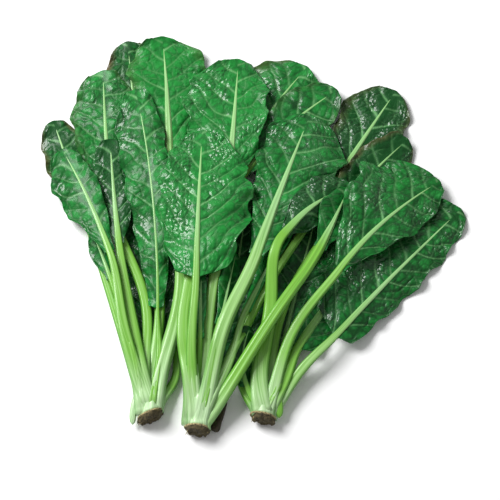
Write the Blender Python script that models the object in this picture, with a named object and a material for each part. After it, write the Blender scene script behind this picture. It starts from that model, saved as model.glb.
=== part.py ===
"""Swiss chard bunch: three cut plants lie side by side, with their leaves fanned out over one another.

Each plant is one pale solid, its crown with every stalk and midrib, and a brown cut end. Each leaf blade is
a thin waved sheet of its own, open along its midrib. Leaves are laid down one after another on a height map
of the pile, which lifts each of them clear of what is already there. All design sizes are in millimetres.
"""

from dataclasses import dataclass

import bmesh
import bpy
import numpy as np

MM = 0.001

# Plants: the crowns lie with their axes along +Y, cut ends towards -Y.
CROWN_RADIUS = 12.5
CROWN_HEIGHT = 9.5  # of its axis over the surface; less than the radius, so the underside is flat
CROWN_LENGTH = 34.0
CROWN_SIDES = 14
CUT_END_LENGTH = 7.0
CUT_END_GAP = 0.35
SLOT_REACH = 0.7  # of the crown's radius, the ring that the stalks stand on
STALK_START = 5.0  # from the cut, inside the crown
CROWNS = {"left": (-106.0, -190.0), "middle": (-60.0, -204.0), "right": (4.0, -192.0)}
CUT_TURN = {"left": 20.0, "middle": -6.0, "right": -12.0}  # degrees that the cut faces away from -Y

# The dried stalk, with its start given from the middle crown's cut.
DRY_START = (16.3, -3.0, 5.4)
DRY_REACH = (11.0, 34.0, -1.2)
DRY_RADII = (4.8, 2.4)
DRY_RINGS = 6
DRY_SIDES = 6

# Stalks and midribs: six-sided, flat on top and deep below.
STALK_RISE = 0.24  # of the width, above the middle line
STALK_DEPTH = 0.46  # of the width, below it
STALK_SECTION = (
    (-1.0, 0.0),
    (-0.62, STALK_RISE),
    (0.62, STALK_RISE),
    (1.0, 0.0),
    (0.55, -STALK_DEPTH),
    (-0.55, -STALK_DEPTH),
)
BASE_FLARE = 1.15  # widening of a stalk where it sheathes the crown
FLARE_LENGTH = 45.0
MIDRIB_END = 0.84  # share of the blade's length where the midrib runs out
MIDRIB_TIP_WIDTH = 1.6
STALK_STEP = 26.0  # spacing of a stalk's rows
SETTLE_SHARE = 0.5  # of a leaf's length over which it comes down from its crown to the surface
JOIN_LENGTH = 24.0  # a stalk is held by its crown over this length
PRESS_LENGTH = 130.0  # stalks of one plant press into each other over this length

# Blades.
BLADE_THICKNESS = 0.9
RIB_GAP = 0.4  # between a blade's inner edge and its midrib
BLADE_STEP = 15.0  # spacing of a blade's rows
SIDE_COLUMNS = 3
TIP_WIDTH = 0.42  # of the widest
TIP_ROUNDNESS = 2.3  # how late the blade narrows towards its tip
NECK_TAPER = 1.7  # how early it narrows towards its neck
VEIN_SWEEP = 0.45  # how far rows lean forward near the neck, per width
TIP_SWEEP = 0.3  # how far they lean back near the tip
LEAST_REACH = 1.5  # of a blade beyond its inner edge
SIDE_SHIFT = 1.6  # radians between the waves of the two margins
WAVE_LENGTH = 62.0
LOBE_LENGTH = 41.0
LOBE_DEPTH = 0.07  # of the blade's width
TURN_OF_PHASE = 2.4  # radians from one leaf's waves to the next one's

# The height map that the leaves are laid down on.
CELL = 2.0
HALF_FIELD = 244.0
CELL_MARGIN = 0.04  # how far outside a triangle a cell still counts as under it, as a share
CLEARANCE = 1.3
FLOOR_CLEARANCE = 0.1  # least height of a blade over the surface that the bunch lies on
LAY_ROUNDS = 60
LAST_ROUNDS = 12  # of raising only, with no more smoothing
CLOSE_ENOUGH = 0.05
LIFT_SHARE = 0.08  # least share of a corner in a low cell for that corner to be raised
SMOOTH_ALONG = 0.3
SMOOTH_ACROSS = 0.22
SMOOTH_STALK = 0.4
SPRING_BACK = 0.03  # share of its lift that a leaf loses in each round away from what holds it up


@dataclass
class Leaf:
    """One leaf. Places are on the surface that the bunch lies on, with +Y from the crowns to the tips."""

    name: str
    plant: str
    slot: tuple  # where the stalk stands on its crown, across and up, from -1 to 1
    neck: tuple  # where the stalk becomes the blade
    tip: tuple
    stalk: tuple  # width at the crown and at the neck
    blade: tuple  # widest reach to the left and to the right of the midrib
    widest: float = 0.55  # share of the blade's length at its widest
    base_width: float = 0.12  # blade width at the neck, as a share of the widest
    bow: float = 0.0  # how far the stalk bulges to the right
    cup: float = 7.0  # how far the margins hang below the midrib
    rise: float = 0.0  # how far the leaf arches up
    wave: float = 7.0  # height of the waves along the margin


# From the bottom of the pile to its top.
LEAVES = (
    Leaf("left_inner", "left", (0.9, -0.2), (-81, -121), (-87, -34), (9, 6), (7, 6), cup=3, wave=2, bow=5),
    Leaf("left_deep", "left", (0.3, -0.5), (-101, -146), (-124, 48), (8, 6), (28, 26), base_width=0.3, cup=4,
         wave=5),
    Leaf("middle_deep", "middle", (0.3, -0.5), (-45, -152), (-12, 40), (8, 6), (28, 40), base_width=0.3,
         cup=4, wave=5),
    Leaf("right_deep", "right", (0.4, -0.5), (16, -150), (62, 38), (8, 6), (30, 32), base_width=0.3, cup=4,
         wave=5),
    Leaf("left_low", "left", (-0.7, -0.4), (-173, 18), (-209, 125), (9, 7), (22, 25)),
    Leaf("left_small", "left", (-0.8, -0.3), (-147, -50), (-166, 0), (7, 5), (11, 9), cup=4, wave=3),
    Leaf("middle_back", "middle", (0.1, -0.5), (-28, 58), (50, 185), (9, 7), (46, 50), widest=0.7),
    Leaf("middle_far", "middle", (0.5, -0.4), (75, 52), (140, 158), (9, 8), (38, 32), widest=0.65, bow=-4),
    Leaf("left_back", "left", (0.0, -0.4), (-118, 43), (-135, 214), (11, 8), (26, 28), widest=0.7, bow=12),
    Leaf("left_middle", "left", (-0.3, -0.2), (-147, 29), (-159, 180), (11, 8), (34, 32), widest=0.6,
         rise=5, bow=19),
    Leaf("left_tall", "left", (0.4, 0.3), (-90, 64), (-99, 219), (16, 10), (38, 44), widest=0.7,
         rise=14, wave=9, bow=15),
    Leaf("middle_under", "middle", (-0.9, -0.1), (-69, -22), (-100, 79), (14, 11), (18, 18), bow=-14),
    Leaf("middle_right", "middle", (0.2, 0.0), (-14, 62), (80, 157), (10, 7), (28, 30), widest=0.6, rise=6),
    Leaf("middle_tall", "middle", (0.1, 0.3), (-32, 30), (-21, 192), (13, 10), (52, 33), widest=0.62,
         rise=16, wave=9, bow=-4),
    Leaf("left_dark", "left", (-0.2, 0.1), (-139, -16), (-150, 100), (17, 7), (20, 24), rise=8, bow=1),
    Leaf("left_long", "left", (0.2, 0.5), (-100, -84), (-125, 153), (9, 3), (28, 20), widest=0.75,
         base_width=0.3, cup=14, rise=12, bow=3),
    Leaf("left_front", "left", (-0.7, 0.3), (-148, -26), (-199, 91), (16, 7), (28, 16), widest=0.6,
         rise=16, bow=-7),
    Leaf("right_short", "right", (-0.9, 0.1), (-19, -157), (-23, -114), (9, 6), (6, 6), cup=2, wave=2),
    Leaf("right_inner", "right", (0.3, 0.5), (22, -156), (31, -106), (7, 5), (6, 6), cup=3, wave=2),
    Leaf("right_within", "right", (-0.5, 0.3), (-12, -165), (-9, -104), (7, 5), (13, 10),
         base_width=0.5, cup=3, wave=2),
    Leaf("right_cross", "right", (0.4, -0.3), (70, 3), (151, 103), (9, 8), (26, 26), bow=-6),
    Leaf("right_lower", "right", (0.8, -0.2), (38, -124), (140, -4), (12, 9), (26, 30), base_width=0.5,
         bow=3),
    Leaf("right_outer", "right", (0.9, -0.1), (75, -112), (203, 28), (12, 7), (50, 25), widest=0.55,
         base_width=0.7, bow=-3),
    Leaf("middle_inner", "middle", (-0.1, 0.2), (-58, -120), (-57, -50), (7, 5), (6, 6), cup=3, wave=2),
    Leaf("middle_within", "middle", (0.4, 0.3), (-39, -106), (-23, -26), (8, 6), (9, 8), cup=4, wave=3),
    Leaf("middle_curled", "middle", (0.4, 0.5), (-13, -89), (41, 17), (8, 6), (12, 5), cup=8, bow=7),
    Leaf("middle_wide", "middle", (0.3, 0.6), (-3, -34), (52, 127), (16, 12), (36, 50), widest=0.75,
         base_width=0.12, cup=11, rise=24, wave=9, bow=-6),
    Leaf("right_dark", "right", (-0.1, 0.5), (24, -14), (92, 47), (18, 9), (24, 22), widest=0.66, cup=4,
         wave=5, bow=15),
    Leaf("middle_second", "middle", (0.8, 0.5), (60, -24), (89, 42), (13, 10), (17, 17), bow=-4),
    Leaf("right_bright", "right", (0.5, 0.4), (80, -46), (182, 56), (12, 7), (56, 28), widest=0.6, bow=-6,
         cup=12, rise=22, wave=8),
    Leaf("middle_front", "middle", (-0.4, 0.5), (-62, -60), (-57, 106), (12, 7), (40, 52), widest=0.4,
         base_width=0.55, cup=12, rise=32, wave=9, bow=-3),
)




def smooth_step(t):
    t = np.clip(t, 0.0, 1.0)
    return t * t * (3.0 - 2.0 * t)


def crown_point(leaf):
    """The start of a leaf's stalk inside its crown: across, along and up."""
    x, y = CROWNS[leaf.plant]
    across, up = (SLOT_REACH * CROWN_RADIUS * share for share in leaf.slot)
    slant = across * np.tan(np.radians(CUT_TURN[leaf.plant]))
    return x + across, y + STALK_START + slant, CROWN_HEIGHT + up


class LeafFrame:
    """The rows of a leaf in plan: its middle line, the way across it, and the widths of stalk and blade."""

    def __init__(self, leaf, phase):
        self.leaf = leaf
        self.phase = phase
        start = np.array(crown_point(leaf)[:2])
        neck, tip = np.array(leaf.neck, float), np.array(leaf.tip, float)
        first, second = np.linalg.norm(neck - start), np.linalg.norm(tip - neck)
        self.length = first + second
        bend = first / self.length
        self.stalk_rows = max(4, round(first / STALK_STEP))
        self.blade_rows = max(5, round(second / BLADE_STEP))
        # The halves of the blade join over its last two rows or more.
        self.slot_end = self.stalk_rows + min(round(MIDRIB_END * self.blade_rows), self.blade_rows - 2)
        along = np.concatenate([
            np.linspace(0.0, bend, self.stalk_rows, endpoint=False),
            np.linspace(bend, 1.0, self.blade_rows + 1),
        ])
        # The parabola through the three places, and the stalk's own sideways bulge.
        share = along[:, None]
        line = (
            start * (share - bend) * (share - 1.0) / bend
            + neck * share * (share - 1.0) / (bend * (bend - 1.0))
            + tip * share * (share - bend) / (1.0 - bend)
        )
        chord = (neck - start) / first
        bulge = np.sin(np.pi * np.clip(along / bend, 0.0, 1.0)) ** 2
        line += leaf.bow * bulge[:, None] * np.array([chord[1], -chord[0]])
        self.line = line
        ahead = np.gradient(line, axis=0)
        ahead /= np.linalg.norm(ahead, axis=1)[:, None]
        self.ahead = ahead
        self.right = np.stack([ahead[:, 1], -ahead[:, 0]], axis=1)
        self.distance = along * self.length
        self.blade_length = second
        self.blade_share = np.clip((along - bend) / (1.0 - bend), 0.0, 1.0)
        self.half_stalk = self.stalk_half_width(along, bend)

    def stalk_half_width(self, along, bend):
        base, neck = self.leaf.stalk
        width = base + (neck - base) * np.clip(along / bend, 0.0, 1.0)
        midrib = neck + (MIDRIB_TIP_WIDTH - neck) * self.blade_share / MIDRIB_END
        width = np.where(self.blade_share > 0.0, midrib, width)
        flare = 1.0 + (BASE_FLARE - 1.0) * (1.0 - smooth_step(self.distance / FLARE_LENGTH))
        return np.maximum(width, MIDRIB_TIP_WIDTH) * flare / 2.0

    def rest_height(self):
        """Height of the middle line before the leaf is laid on the pile."""
        start = crown_point(self.leaf)[2]
        low = STALK_DEPTH * 2.0 * self.half_stalk
        settle = smooth_step(self.distance / (SETTLE_SHARE * self.length))
        arch = self.leaf.rise * np.sin(np.pi * self.distance / self.length)
        return start + (low - start) * settle + arch

    def blade_width(self, side):
        """Reach of the blade at each row, from the middle line to the margin."""
        leaf, share = self.leaf, self.blade_share
        widest = leaf.blade[0 if side < 0 else 1]
        beyond = np.clip((share - leaf.widest) / (1.0 - leaf.widest), 0.0, 1.0)
        before = np.clip(1.0 - share / leaf.widest, 0.0, 1.0)
        rounded = np.sqrt(1.0 - (1.0 - TIP_WIDTH ** 2) * beyond ** TIP_ROUNDNESS)
        narrowed = (1.0 - leaf.base_width) * before ** NECK_TAPER
        turn = 2.0 * np.pi * share * self.blade_length / LOBE_LENGTH + 2.0 * self.phase + side
        return widest * (rounded - narrowed) * (1.0 + LOBE_DEPTH * np.sin(turn))


@dataclass
class Net:
    """A leaf's mid-surface. Each row of the blade has columns from the left margin to the right one."""

    plan: np.ndarray  # rows, columns, x and y
    height: np.ndarray  # rows, columns
    lift_column: tuple  # which lift each column takes: both edges of the midrib share one


def leaf_net(frame):
    leaf = frame.leaf
    rows = len(frame.distance)
    columns = 2 * (SIDE_COLUMNS + 1)
    plan = np.zeros((rows, columns, 2))
    height = np.zeros((rows, columns))
    rest = frame.rest_height()
    share = frame.blade_share
    turn = 2.0 * np.pi * share * frame.blade_length / WAVE_LENGTH + frame.phase
    for side in (-1, 1):
        reach = frame.blade_width(side)
        inner = frame.half_stalk + RIB_GAP
        reach = np.maximum(reach, inner + LEAST_REACH)
        for step in range(SIDE_COLUMNS + 1):
            across = step / SIDE_COLUMNS
            column = SIDE_COLUMNS - step if side < 0 else SIDE_COLUMNS + 1 + step
            offset = inner + (reach - inner) * across
            # Rows lean forward near the neck, as the side veins do, and back near the tip, which rounds it.
            sweep = (VEIN_SWEEP * (1.0 - share) - TIP_SWEEP * share ** 3) * (offset - inner)
            aside = side * frame.right * offset[:, None]
            plan[:, column] = frame.line + aside + frame.ahead * sweep[:, None]
            fullness = (reach - inner) / max(leaf.blade)
            ripple = leaf.wave * across ** 1.5 * np.sin(turn + SIDE_SHIFT * side)
            height[:, column] = rest + fullness * (ripple - leaf.cup * across ** 2)
    order = [*range(SIDE_COLUMNS + 1), *range(SIDE_COLUMNS, 2 * SIDE_COLUMNS + 1)]
    return Net(plan, height, tuple(order))


def net_triangles(frame, first_row, middle_only):
    """Corner indices (row, column) of the net's triangles, with diagonals that mirror from side to side."""
    found = []
    for row in range(first_row, len(frame.distance) - 1):
        for column in range(2 * SIDE_COLUMNS + 1):
            middle = column == SIDE_COLUMNS
            if middle != middle_only:
                continue
            a, b = (row, column), (row, column + 1)
            c, d = (row + 1, column + 1), (row + 1, column)
            if column < SIDE_COLUMNS:
                found += [(a, b, d), (b, c, d)]
            else:
                found += [(a, b, c), (a, c, d)]
    return np.array(found)


class HeightMap:
    """The pile's upper side over the surface, which grows as leaves are laid down."""

    def __init__(self):
        self.size = int(2 * HALF_FIELD / CELL) + 1
        self.blades = np.zeros((self.size, self.size))
        self.stalks = {plant: np.zeros((self.size, self.size)) for plant in CROWNS}

    def covered(self, plan, triangles):
        """The cells under each triangle, with the share of each corner in them."""
        cells, corners, shares = [], [], []
        for index, triangle in enumerate(triangles):
            points = (np.array([plan[r, c] for r, c in triangle]) + HALF_FIELD) / CELL
            low = np.maximum(np.floor(points.min(axis=0)).astype(int), 0)
            high = np.minimum(np.ceil(points.max(axis=0)).astype(int), self.size - 1)
            spans = [np.arange(low[axis], high[axis] + 1) for axis in (0, 1)]
            gx, gy = np.meshgrid(*spans, indexing="ij")
            (x0, y0), (x1, y1), (x2, y2) = points
            area = (x1 - x0) * (y2 - y0) - (x2 - x0) * (y1 - y0)
            if abs(area) < 1e-9:
                continue
            second = ((gx - x0) * (y2 - y0) - (x2 - x0) * (gy - y0)) / area
            third = ((x1 - x0) * (gy - y0) - (gx - x0) * (y1 - y0)) / area
            share = np.stack([1.0 - second - third, second, third], axis=-1)
            inside = (share > -CELL_MARGIN).all(axis=-1)
            cells.append(np.stack([gx[inside], gy[inside]], axis=1))
            shares.append(np.clip(share[inside], 0.0, 1.0))
            corners.append(np.full(int(inside.sum()), index))
        return np.concatenate(cells), np.concatenate(corners), np.concatenate(shares)


def padded_top(top, below):
    """Least height of a middle line over what lies beneath it, or nothing over the bare surface."""
    return np.where(top > 0.0, top + below + CLEARANCE, 0.0)


def spread(lift, weights):
    """One round of smoothing along the rows and across the columns, with free edges."""
    along, across = weights
    padded = np.pad(lift, ((1, 1), (0, 0)), mode="edge")
    lift = lift + along * (padded[2:] + padded[:-2] - 2.0 * lift)
    padded = np.pad(lift, ((0, 0), (1, 1)), mode="edge")
    return lift + across * (padded[:, 2:] + padded[:, :-2] - 2.0 * lift)


def lay_down(frame, net, pile):
    """Lifts the leaf clear of the pile, as smoothly as that allows, and adds it to the pile."""
    rows, lifts = len(frame.distance), 2 * SIDE_COLUMNS + 1
    rib_triangles = net_triangles(frame, 0, True)
    blade_triangles = net_triangles(frame, frame.stalk_rows, False)
    lift_column = np.array(net.lift_column)
    free = smooth_step((frame.distance - 0.5 * JOIN_LENGTH) / JOIN_LENGTH)
    past_neck = smooth_step((frame.distance - frame.distance[frame.stalk_rows]) / JOIN_LENGTH + 1.0)
    free_of_own = np.maximum(past_neck, smooth_step((frame.distance - 0.5 * PRESS_LENGTH) / PRESS_LENGTH))
    own = pile.stalks[frame.leaf.plant]
    others = [pile.stalks[plant] for plant in CROWNS if plant != frame.leaf.plant]
    apart = np.maximum.reduce([pile.blades, *others])
    covers = []
    for triangles, is_rib in ((rib_triangles, True), (blade_triangles, False)):
        cells, index, shares = pile.covered(net.plan, triangles)
        corner_rows = triangles[index][:, :, 0]
        corner_columns = triangles[index][:, :, 1]
        if is_rib:
            below = 2.0 * STALK_DEPTH * (frame.half_stalk[corner_rows] * shares).sum(axis=1)
            above = 2.0 * STALK_RISE * (frame.half_stalk[corner_rows] * shares).sum(axis=1)
        else:
            below = above = np.full(len(cells), BLADE_THICKNESS / 2)
        spot = (cells[:, 0], cells[:, 1])
        hold = (free[corner_rows] * shares).sum(axis=1) if is_rib else np.ones(len(cells))
        press = (free_of_own[corner_rows] * shares).sum(axis=1) if is_rib else hold
        need = np.maximum(
            below,
            np.maximum(hold * padded_top(apart[spot], below), press * padded_top(own[spot], below)),
        )
        covers.append((cells, corner_rows, corner_columns, shares, need, above))
    lift = np.zeros((rows, lifts))

    def raise_where_low(lift):
        short_by_most = 0.0
        for _, corner_rows, corner_columns, shares, need, _ in covers:
            raised_by = lift[corner_rows, lift_column[corner_columns]]
            height = net.height[corner_rows, corner_columns] + raised_by
            short = need - (height * shares).sum(axis=1)
            low = short > 0.0
            if low.any():
                target = (corner_rows[low], lift_column[corner_columns[low]])
                raised = np.zeros_like(lift)
                np.maximum.at(raised, target, short[low][:, None] * (shares[low] > LIFT_SHARE))
                lift = lift + raised
                short_by_most = max(short_by_most, short.max())
        return lift, short_by_most

    for _ in range(LAY_ROUNDS):
        centre = lift[:, SIDE_COLUMNS].copy()
        lift = spread(lift, (SMOOTH_ALONG, SMOOTH_ACROSS)) * (1.0 - SPRING_BACK)
        # A stalk is stiff: its own line takes no part in smoothing across, and unused columns follow it.
        padded = np.pad(centre, 1, mode="edge")
        stiff = centre + SMOOTH_STALK * (padded[2:] + padded[:-2] - 2.0 * centre)
        stiff *= 1.0 - SPRING_BACK
        lift[:frame.stalk_rows] = stiff[:frame.stalk_rows, None]
        lift[0] = 0.0
        lift, _ = raise_where_low(lift)
    for _ in range(LAST_ROUNDS):
        lift, short_by = raise_where_low(lift)
        if short_by < CLOSE_ENOUGH:
            break
    net.height += lift[:, lift_column]
    blade_height = net.height[frame.stalk_rows:]
    np.maximum(blade_height, FLOOR_CLEARANCE + BLADE_THICKNESS / 2, out=blade_height)
    for cover, layer in zip(covers, (own, pile.blades)):
        cells, corner_rows, corner_columns, shares, _, above = cover
        height = (net.height[corner_rows, corner_columns] * shares).sum(axis=1) + above
        for dx, dy in ((0, 0), (1, 0), (-1, 0), (0, 1), (0, -1)):
            spot = np.clip(cells + (dx, dy), 0, pile.size - 1)
            np.maximum.at(layer, (spot[:, 0], spot[:, 1]), height)


def new_object(name, points, faces, material):
    """A mesh object from points in millimetres."""
    mesh = bpy.data.meshes.new(name)
    mesh.from_pydata([tuple(np.array(p) * MM) for p in points], [], faces)
    body = bmesh.new()
    body.from_mesh(mesh)
    bmesh.ops.recalc_face_normals(body, faces=body.faces)
    body.to_mesh(mesh)
    body.free()
    mesh.materials.append(material)
    mesh.shade_smooth()
    obj = bpy.data.objects.new(name, mesh)
    bpy.context.collection.objects.link(obj)
    return obj


def corner_normals(points, faces):
    normals = np.zeros_like(points)
    for face in faces:
        a, b, c = points[list(face)]
        for corner in face:
            normals[corner] += np.cross(b - a, c - a)
    return normals / np.linalg.norm(normals, axis=1)[:, None]


def blade(frame, net, material):
    """The blade's two halves, joined past the end of the midrib, as one sheet with both faces split alike."""
    index, points, kept_edge = {}, [], []
    slot_end = frame.slot_end
    for row in range(frame.stalk_rows, len(frame.distance)):
        for column in range(2 * (SIDE_COLUMNS + 1)):
            joined = row > slot_end and column == SIDE_COLUMNS + 1
            if joined:
                index[row, column] = index[row, column - 1]
                continue
            place = net.plan[row, column]
            if row > slot_end and column == SIDE_COLUMNS:
                place = frame.line[row]
            index[row, column] = len(points)
            points.append((*place, net.height[row, column]))
            kept_edge.append(column in (SIDE_COLUMNS, SIDE_COLUMNS + 1))
    points = np.array(points)
    upper = []
    for triangle in net_triangles(frame, frame.stalk_rows, False):
        face = tuple(index[tuple(corner)] for corner in triangle)
        if len(set(face)) == 3:
            upper.append(face)
    normals = corner_normals(points, upper)
    if normals[:, 2].mean() < 0.0:
        upper = [face[::-1] for face in upper]
        normals = -normals
    # Edges beside the midrib are offset straight down, so that they stay clear of it.
    normals[np.array(kept_edge)] = (0.0, 0.0, 1.0)
    half = BLADE_THICKNESS / 2
    count = len(points)
    both = np.concatenate([points + half * normals, points - half * normals])
    edges = {}
    for a, b, c in upper:
        for edge in ((a, b), (b, c), (c, a)):
            edges[edge] = True
    rim = [edge for edge in edges if edge[::-1] not in edges]
    faces = list(upper) + [(c + count, b + count, a + count) for a, b, c in upper]
    for a, b in rim:
        faces += [(b, a, a + count), (b, a + count, b + count)]
    return new_object(f"{frame.leaf.name}_blade", both, faces, material)


def rings_to_solid(rings):
    """Faces of a closed tube through rings of equal size, with fans over its two ends."""
    count = len(rings[0])
    points = [point for ring in rings for point in ring]
    faces = []
    for row in range(len(rings) - 1):
        for side in range(count):
            a, b = row * count + side, row * count + (side + 1) % count
            faces += [(a, b, b + count), (a, b + count, a + count)]
    last = (len(rings) - 1) * count
    for side in range(1, count - 1):
        faces += [(0, side + 1, side), (last, last + side, last + side + 1)]
    return points, faces


def stalk(frame, net, material):
    """A stalk and its midrib, six-sided and tapering, from inside the crown to the midrib's end."""
    rings = []
    for row in range(frame.slot_end + 1):
        half = frame.half_stalk[row]
        across = np.array([*frame.right[row], 0.0]) * half
        up = np.array([0.0, 0.0, 2.0 * half])
        height = (net.height[row, SIDE_COLUMNS] + net.height[row, SIDE_COLUMNS + 1]) / 2.0
        middle = np.array([*frame.line[row], height])
        rings.append([middle + side * across + rise * up for side, rise in STALK_SECTION])
    points, faces = rings_to_solid(rings)
    return new_object(f"{frame.leaf.name}_stalk", points, faces, material)


def crown_rings(plant, profile):
    """Rings round a crown's axis, flat underneath."""
    x, y = CROWNS[plant]
    turn = np.radians(CUT_TURN[plant])
    rings = []
    for along, radius, slant in profile:
        ring = []
        for side in range(CROWN_SIDES):
            angle = 2.0 * np.pi * (side + 0.5) / CROWN_SIDES - np.pi / 2.0
            out = radius * np.cos(angle)
            up = CROWN_HEIGHT + radius * np.sin(angle)
            ring.append((x + out, y + along + slant * out * np.tan(turn), max(up, 0.0)))
        rings.append(ring)
    return rings


def crown(plant, material):
    radius = CROWN_RADIUS
    # Each ring: distance along the crown, radius, and how much of the cut's slant it keeps.
    profile = (
        (0.0, radius, 1.0),
        (0.4 * CROWN_LENGTH, radius, 0.6),
        (0.7 * CROWN_LENGTH, 0.75 * radius, 0.0),
        (CROWN_LENGTH, 0.3 * radius, 0.0),
    )
    points, faces = rings_to_solid(crown_rings(plant, profile))
    return new_object(f"{plant}_crown", points, faces, material)


def cut_end(plant, material):
    """The brown slice below the crown where the root was cut away."""
    radius = CROWN_RADIUS
    profile = (
        (-CUT_END_LENGTH, 0.82 * radius, 1.0),
        (-0.3 * CUT_END_LENGTH, 0.97 * radius, 1.0),
        (-CUT_END_GAP, 0.95 * radius, 1.0),
    )
    points, faces = rings_to_solid(crown_rings(plant, profile))
    return new_object(f"{plant}_cut_end", points, faces, material)


def dry_stalk(material):
    """A shrivelled brown stalk beside the middle crown."""
    x, y = CROWNS["middle"]
    start = np.array([x + DRY_START[0], y + DRY_START[1], DRY_START[2]])
    rings = []
    for share in np.linspace(0.0, 1.0, DRY_RINGS):
        middle = start + share * np.array(DRY_REACH)
        radius = DRY_RADII[0] + share * (DRY_RADII[1] - DRY_RADII[0])
        ring = []
        for side in range(DRY_SIDES):
            angle = 2.0 * np.pi * side / DRY_SIDES
            ring.append(middle + radius * np.array([np.cos(angle), -0.4 * np.cos(angle), np.sin(angle)]))
        rings.append(ring)
    points, faces = rings_to_solid(rings)
    return new_object("dry_stalk", points, faces, material)


def joined(name, body, others):
    """One solid from a crown and its stalks."""
    group = bpy.data.collections.new(f"{name}_joined")
    for other in others:
        bpy.context.collection.objects.unlink(other)
        group.objects.link(other)
    union = body.modifiers.new("union", "BOOLEAN")
    union.operation = "UNION"
    union.operand_type = "COLLECTION"
    union.collection = group
    union.solver = "EXACT"
    graph = bpy.context.evaluated_depsgraph_get()
    mesh = bpy.data.meshes.new_from_object(body.evaluated_get(graph))
    body.modifiers.clear()
    body.data = mesh
    body.name = name
    for other in others:
        bpy.data.objects.remove(other)
    bpy.data.collections.remove(group)
    mesh.shade_smooth()
    mesh.set_sharp_from_angle(angle=np.radians(50.0))
    return body


def plain_material(name, colour, roughness):
    material = bpy.data.materials.new(name)
    material.use_nodes = True
    shader = material.node_tree.nodes["Principled BSDF"]
    shader.inputs["Base Color"].default_value = (*colour, 1.0)
    shader.inputs["Roughness"].default_value = roughness
    shader.inputs["Metallic"].default_value = 0.0
    return material


def leaf_green():
    return plain_material("leaf_green", (0.02, 0.18, 0.035), 0.35)


def stalk_green():
    return plain_material("stalk_green", (0.36, 0.62, 0.18), 0.4)


def cut_brown():
    return plain_material("cut_brown", (0.14, 0.09, 0.05), 0.9)


def clear_scene():
    for obj in list(bpy.data.objects):
        bpy.data.objects.remove(obj)


def stand_on_origin(objects):
    """Parents everything to one empty, which puts the bunch's box bottom centre on the origin."""
    corners = np.array([tuple(vertex.co) for obj in objects for vertex in obj.data.vertices])
    low, high = corners.min(axis=0), corners.max(axis=0)
    root = bpy.data.objects.new("bunch", None)
    root.location = (-(low[0] + high[0]) / 2, -(low[1] + high[1]) / 2, -low[2])
    bpy.context.collection.objects.link(root)
    for obj in objects:
        obj.parent = root


def main():
    clear_scene()
    green, pale, brown = leaf_green(), stalk_green(), cut_brown()
    pile = HeightMap()
    objects, stalks = [], {plant: [] for plant in CROWNS}
    for count, leaf in enumerate(LEAVES):
        frame = LeafFrame(leaf, TURN_OF_PHASE * count)
        net = leaf_net(frame)
        lay_down(frame, net, pile)
        objects.append(blade(frame, net, green))
        stalks[leaf.plant].append(stalk(frame, net, pale))
    for plant in CROWNS:
        objects.append(joined(f"{plant}_stalks", crown(plant, pale), stalks[plant]))
        objects.append(cut_end(plant, brown))
    objects.append(dry_stalk(brown))
    stand_on_origin(objects)


main()
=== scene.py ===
"""Looks of the swiss chard bunch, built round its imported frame.

Every leaf blade, every plant's stalks and every cut end is made again at a fine spacing. Plan shapes come
from the same named places and widths as the solids. The heights of blades and stalks are read from the frame.
Veins, blisters and ruffled margins are real relief. All sizes in the tables are in millimetres.
"""

from dataclasses import dataclass
from functools import lru_cache

import bpy
import numpy as np
from bpy.props import FloatProperty, FloatVectorProperty, IntProperty, PointerProperty
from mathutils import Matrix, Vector
from mathutils.bvhtree import BVHTree


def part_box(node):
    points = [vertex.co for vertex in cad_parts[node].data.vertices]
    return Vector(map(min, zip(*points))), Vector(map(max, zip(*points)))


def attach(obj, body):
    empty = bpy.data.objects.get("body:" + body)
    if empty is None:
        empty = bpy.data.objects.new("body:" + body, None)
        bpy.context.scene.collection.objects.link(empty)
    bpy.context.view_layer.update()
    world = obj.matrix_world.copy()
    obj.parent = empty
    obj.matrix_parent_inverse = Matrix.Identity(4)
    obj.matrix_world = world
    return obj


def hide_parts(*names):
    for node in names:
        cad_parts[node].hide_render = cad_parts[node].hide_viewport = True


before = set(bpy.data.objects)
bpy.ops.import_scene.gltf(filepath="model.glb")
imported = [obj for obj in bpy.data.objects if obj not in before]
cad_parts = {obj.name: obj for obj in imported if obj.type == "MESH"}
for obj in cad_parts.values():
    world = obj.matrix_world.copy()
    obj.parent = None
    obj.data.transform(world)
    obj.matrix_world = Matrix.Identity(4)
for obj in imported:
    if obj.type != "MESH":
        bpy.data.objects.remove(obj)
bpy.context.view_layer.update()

bl_info = {
    "name": "Swiss chard bunch",
    "version": (1, 0, 0),
    "blender": (4, 5, 0),
    "location": "3D View > Sidebar > Chard",
    "description": "Builds the fine leaves, stalks and cut ends of a bunch of swiss chard",
    "category": "Add Mesh",
}

MM = 0.001

# The plants and the plan shape of stalks and blades, as in the solids.
CROWN_RADIUS = 12.5
CROWN_HEIGHT = 9.5
CROWN_LENGTH = 34.0
CUT_END_GAP = 0.35
CUT_RIM_RADIUS = 0.95 * CROWN_RADIUS
SLOT_REACH = 0.7
STALK_START = 5.0
CROWNS = {"left": (-106.0, -190.0), "middle": (-60.0, -204.0), "right": (4.0, -192.0)}
CUT_TURN = {"left": 20.0, "middle": -6.0, "right": -12.0}
STALK_RISE = 0.24
STALK_DEPTH = 0.46
BASE_FLARE = 1.15
FLARE_LENGTH = 45.0
MIDRIB_END = 0.84
MIDRIB_TIP_WIDTH = 1.6
MIDRIB_LAST = 0.97  # of the blade's length, where the fine midrib ends
BLADE_THICKNESS = 0.9
RIB_GAP = 0.4
TIP_WIDTH = 0.42
TIP_ROUNDNESS = 2.3
NECK_TAPER = 1.7
VEIN_SWEEP = 0.45
TIP_SWEEP = 0.3
LEAST_REACH = 1.5
LOBE_LENGTH = 41.0
LOBE_DEPTH = 0.07
TURN_OF_PHASE = 2.4
NOTCH_LENGTH = 9.0
NOTCH_DEPTH = 0.035  # as a share of the blade's reach

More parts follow.
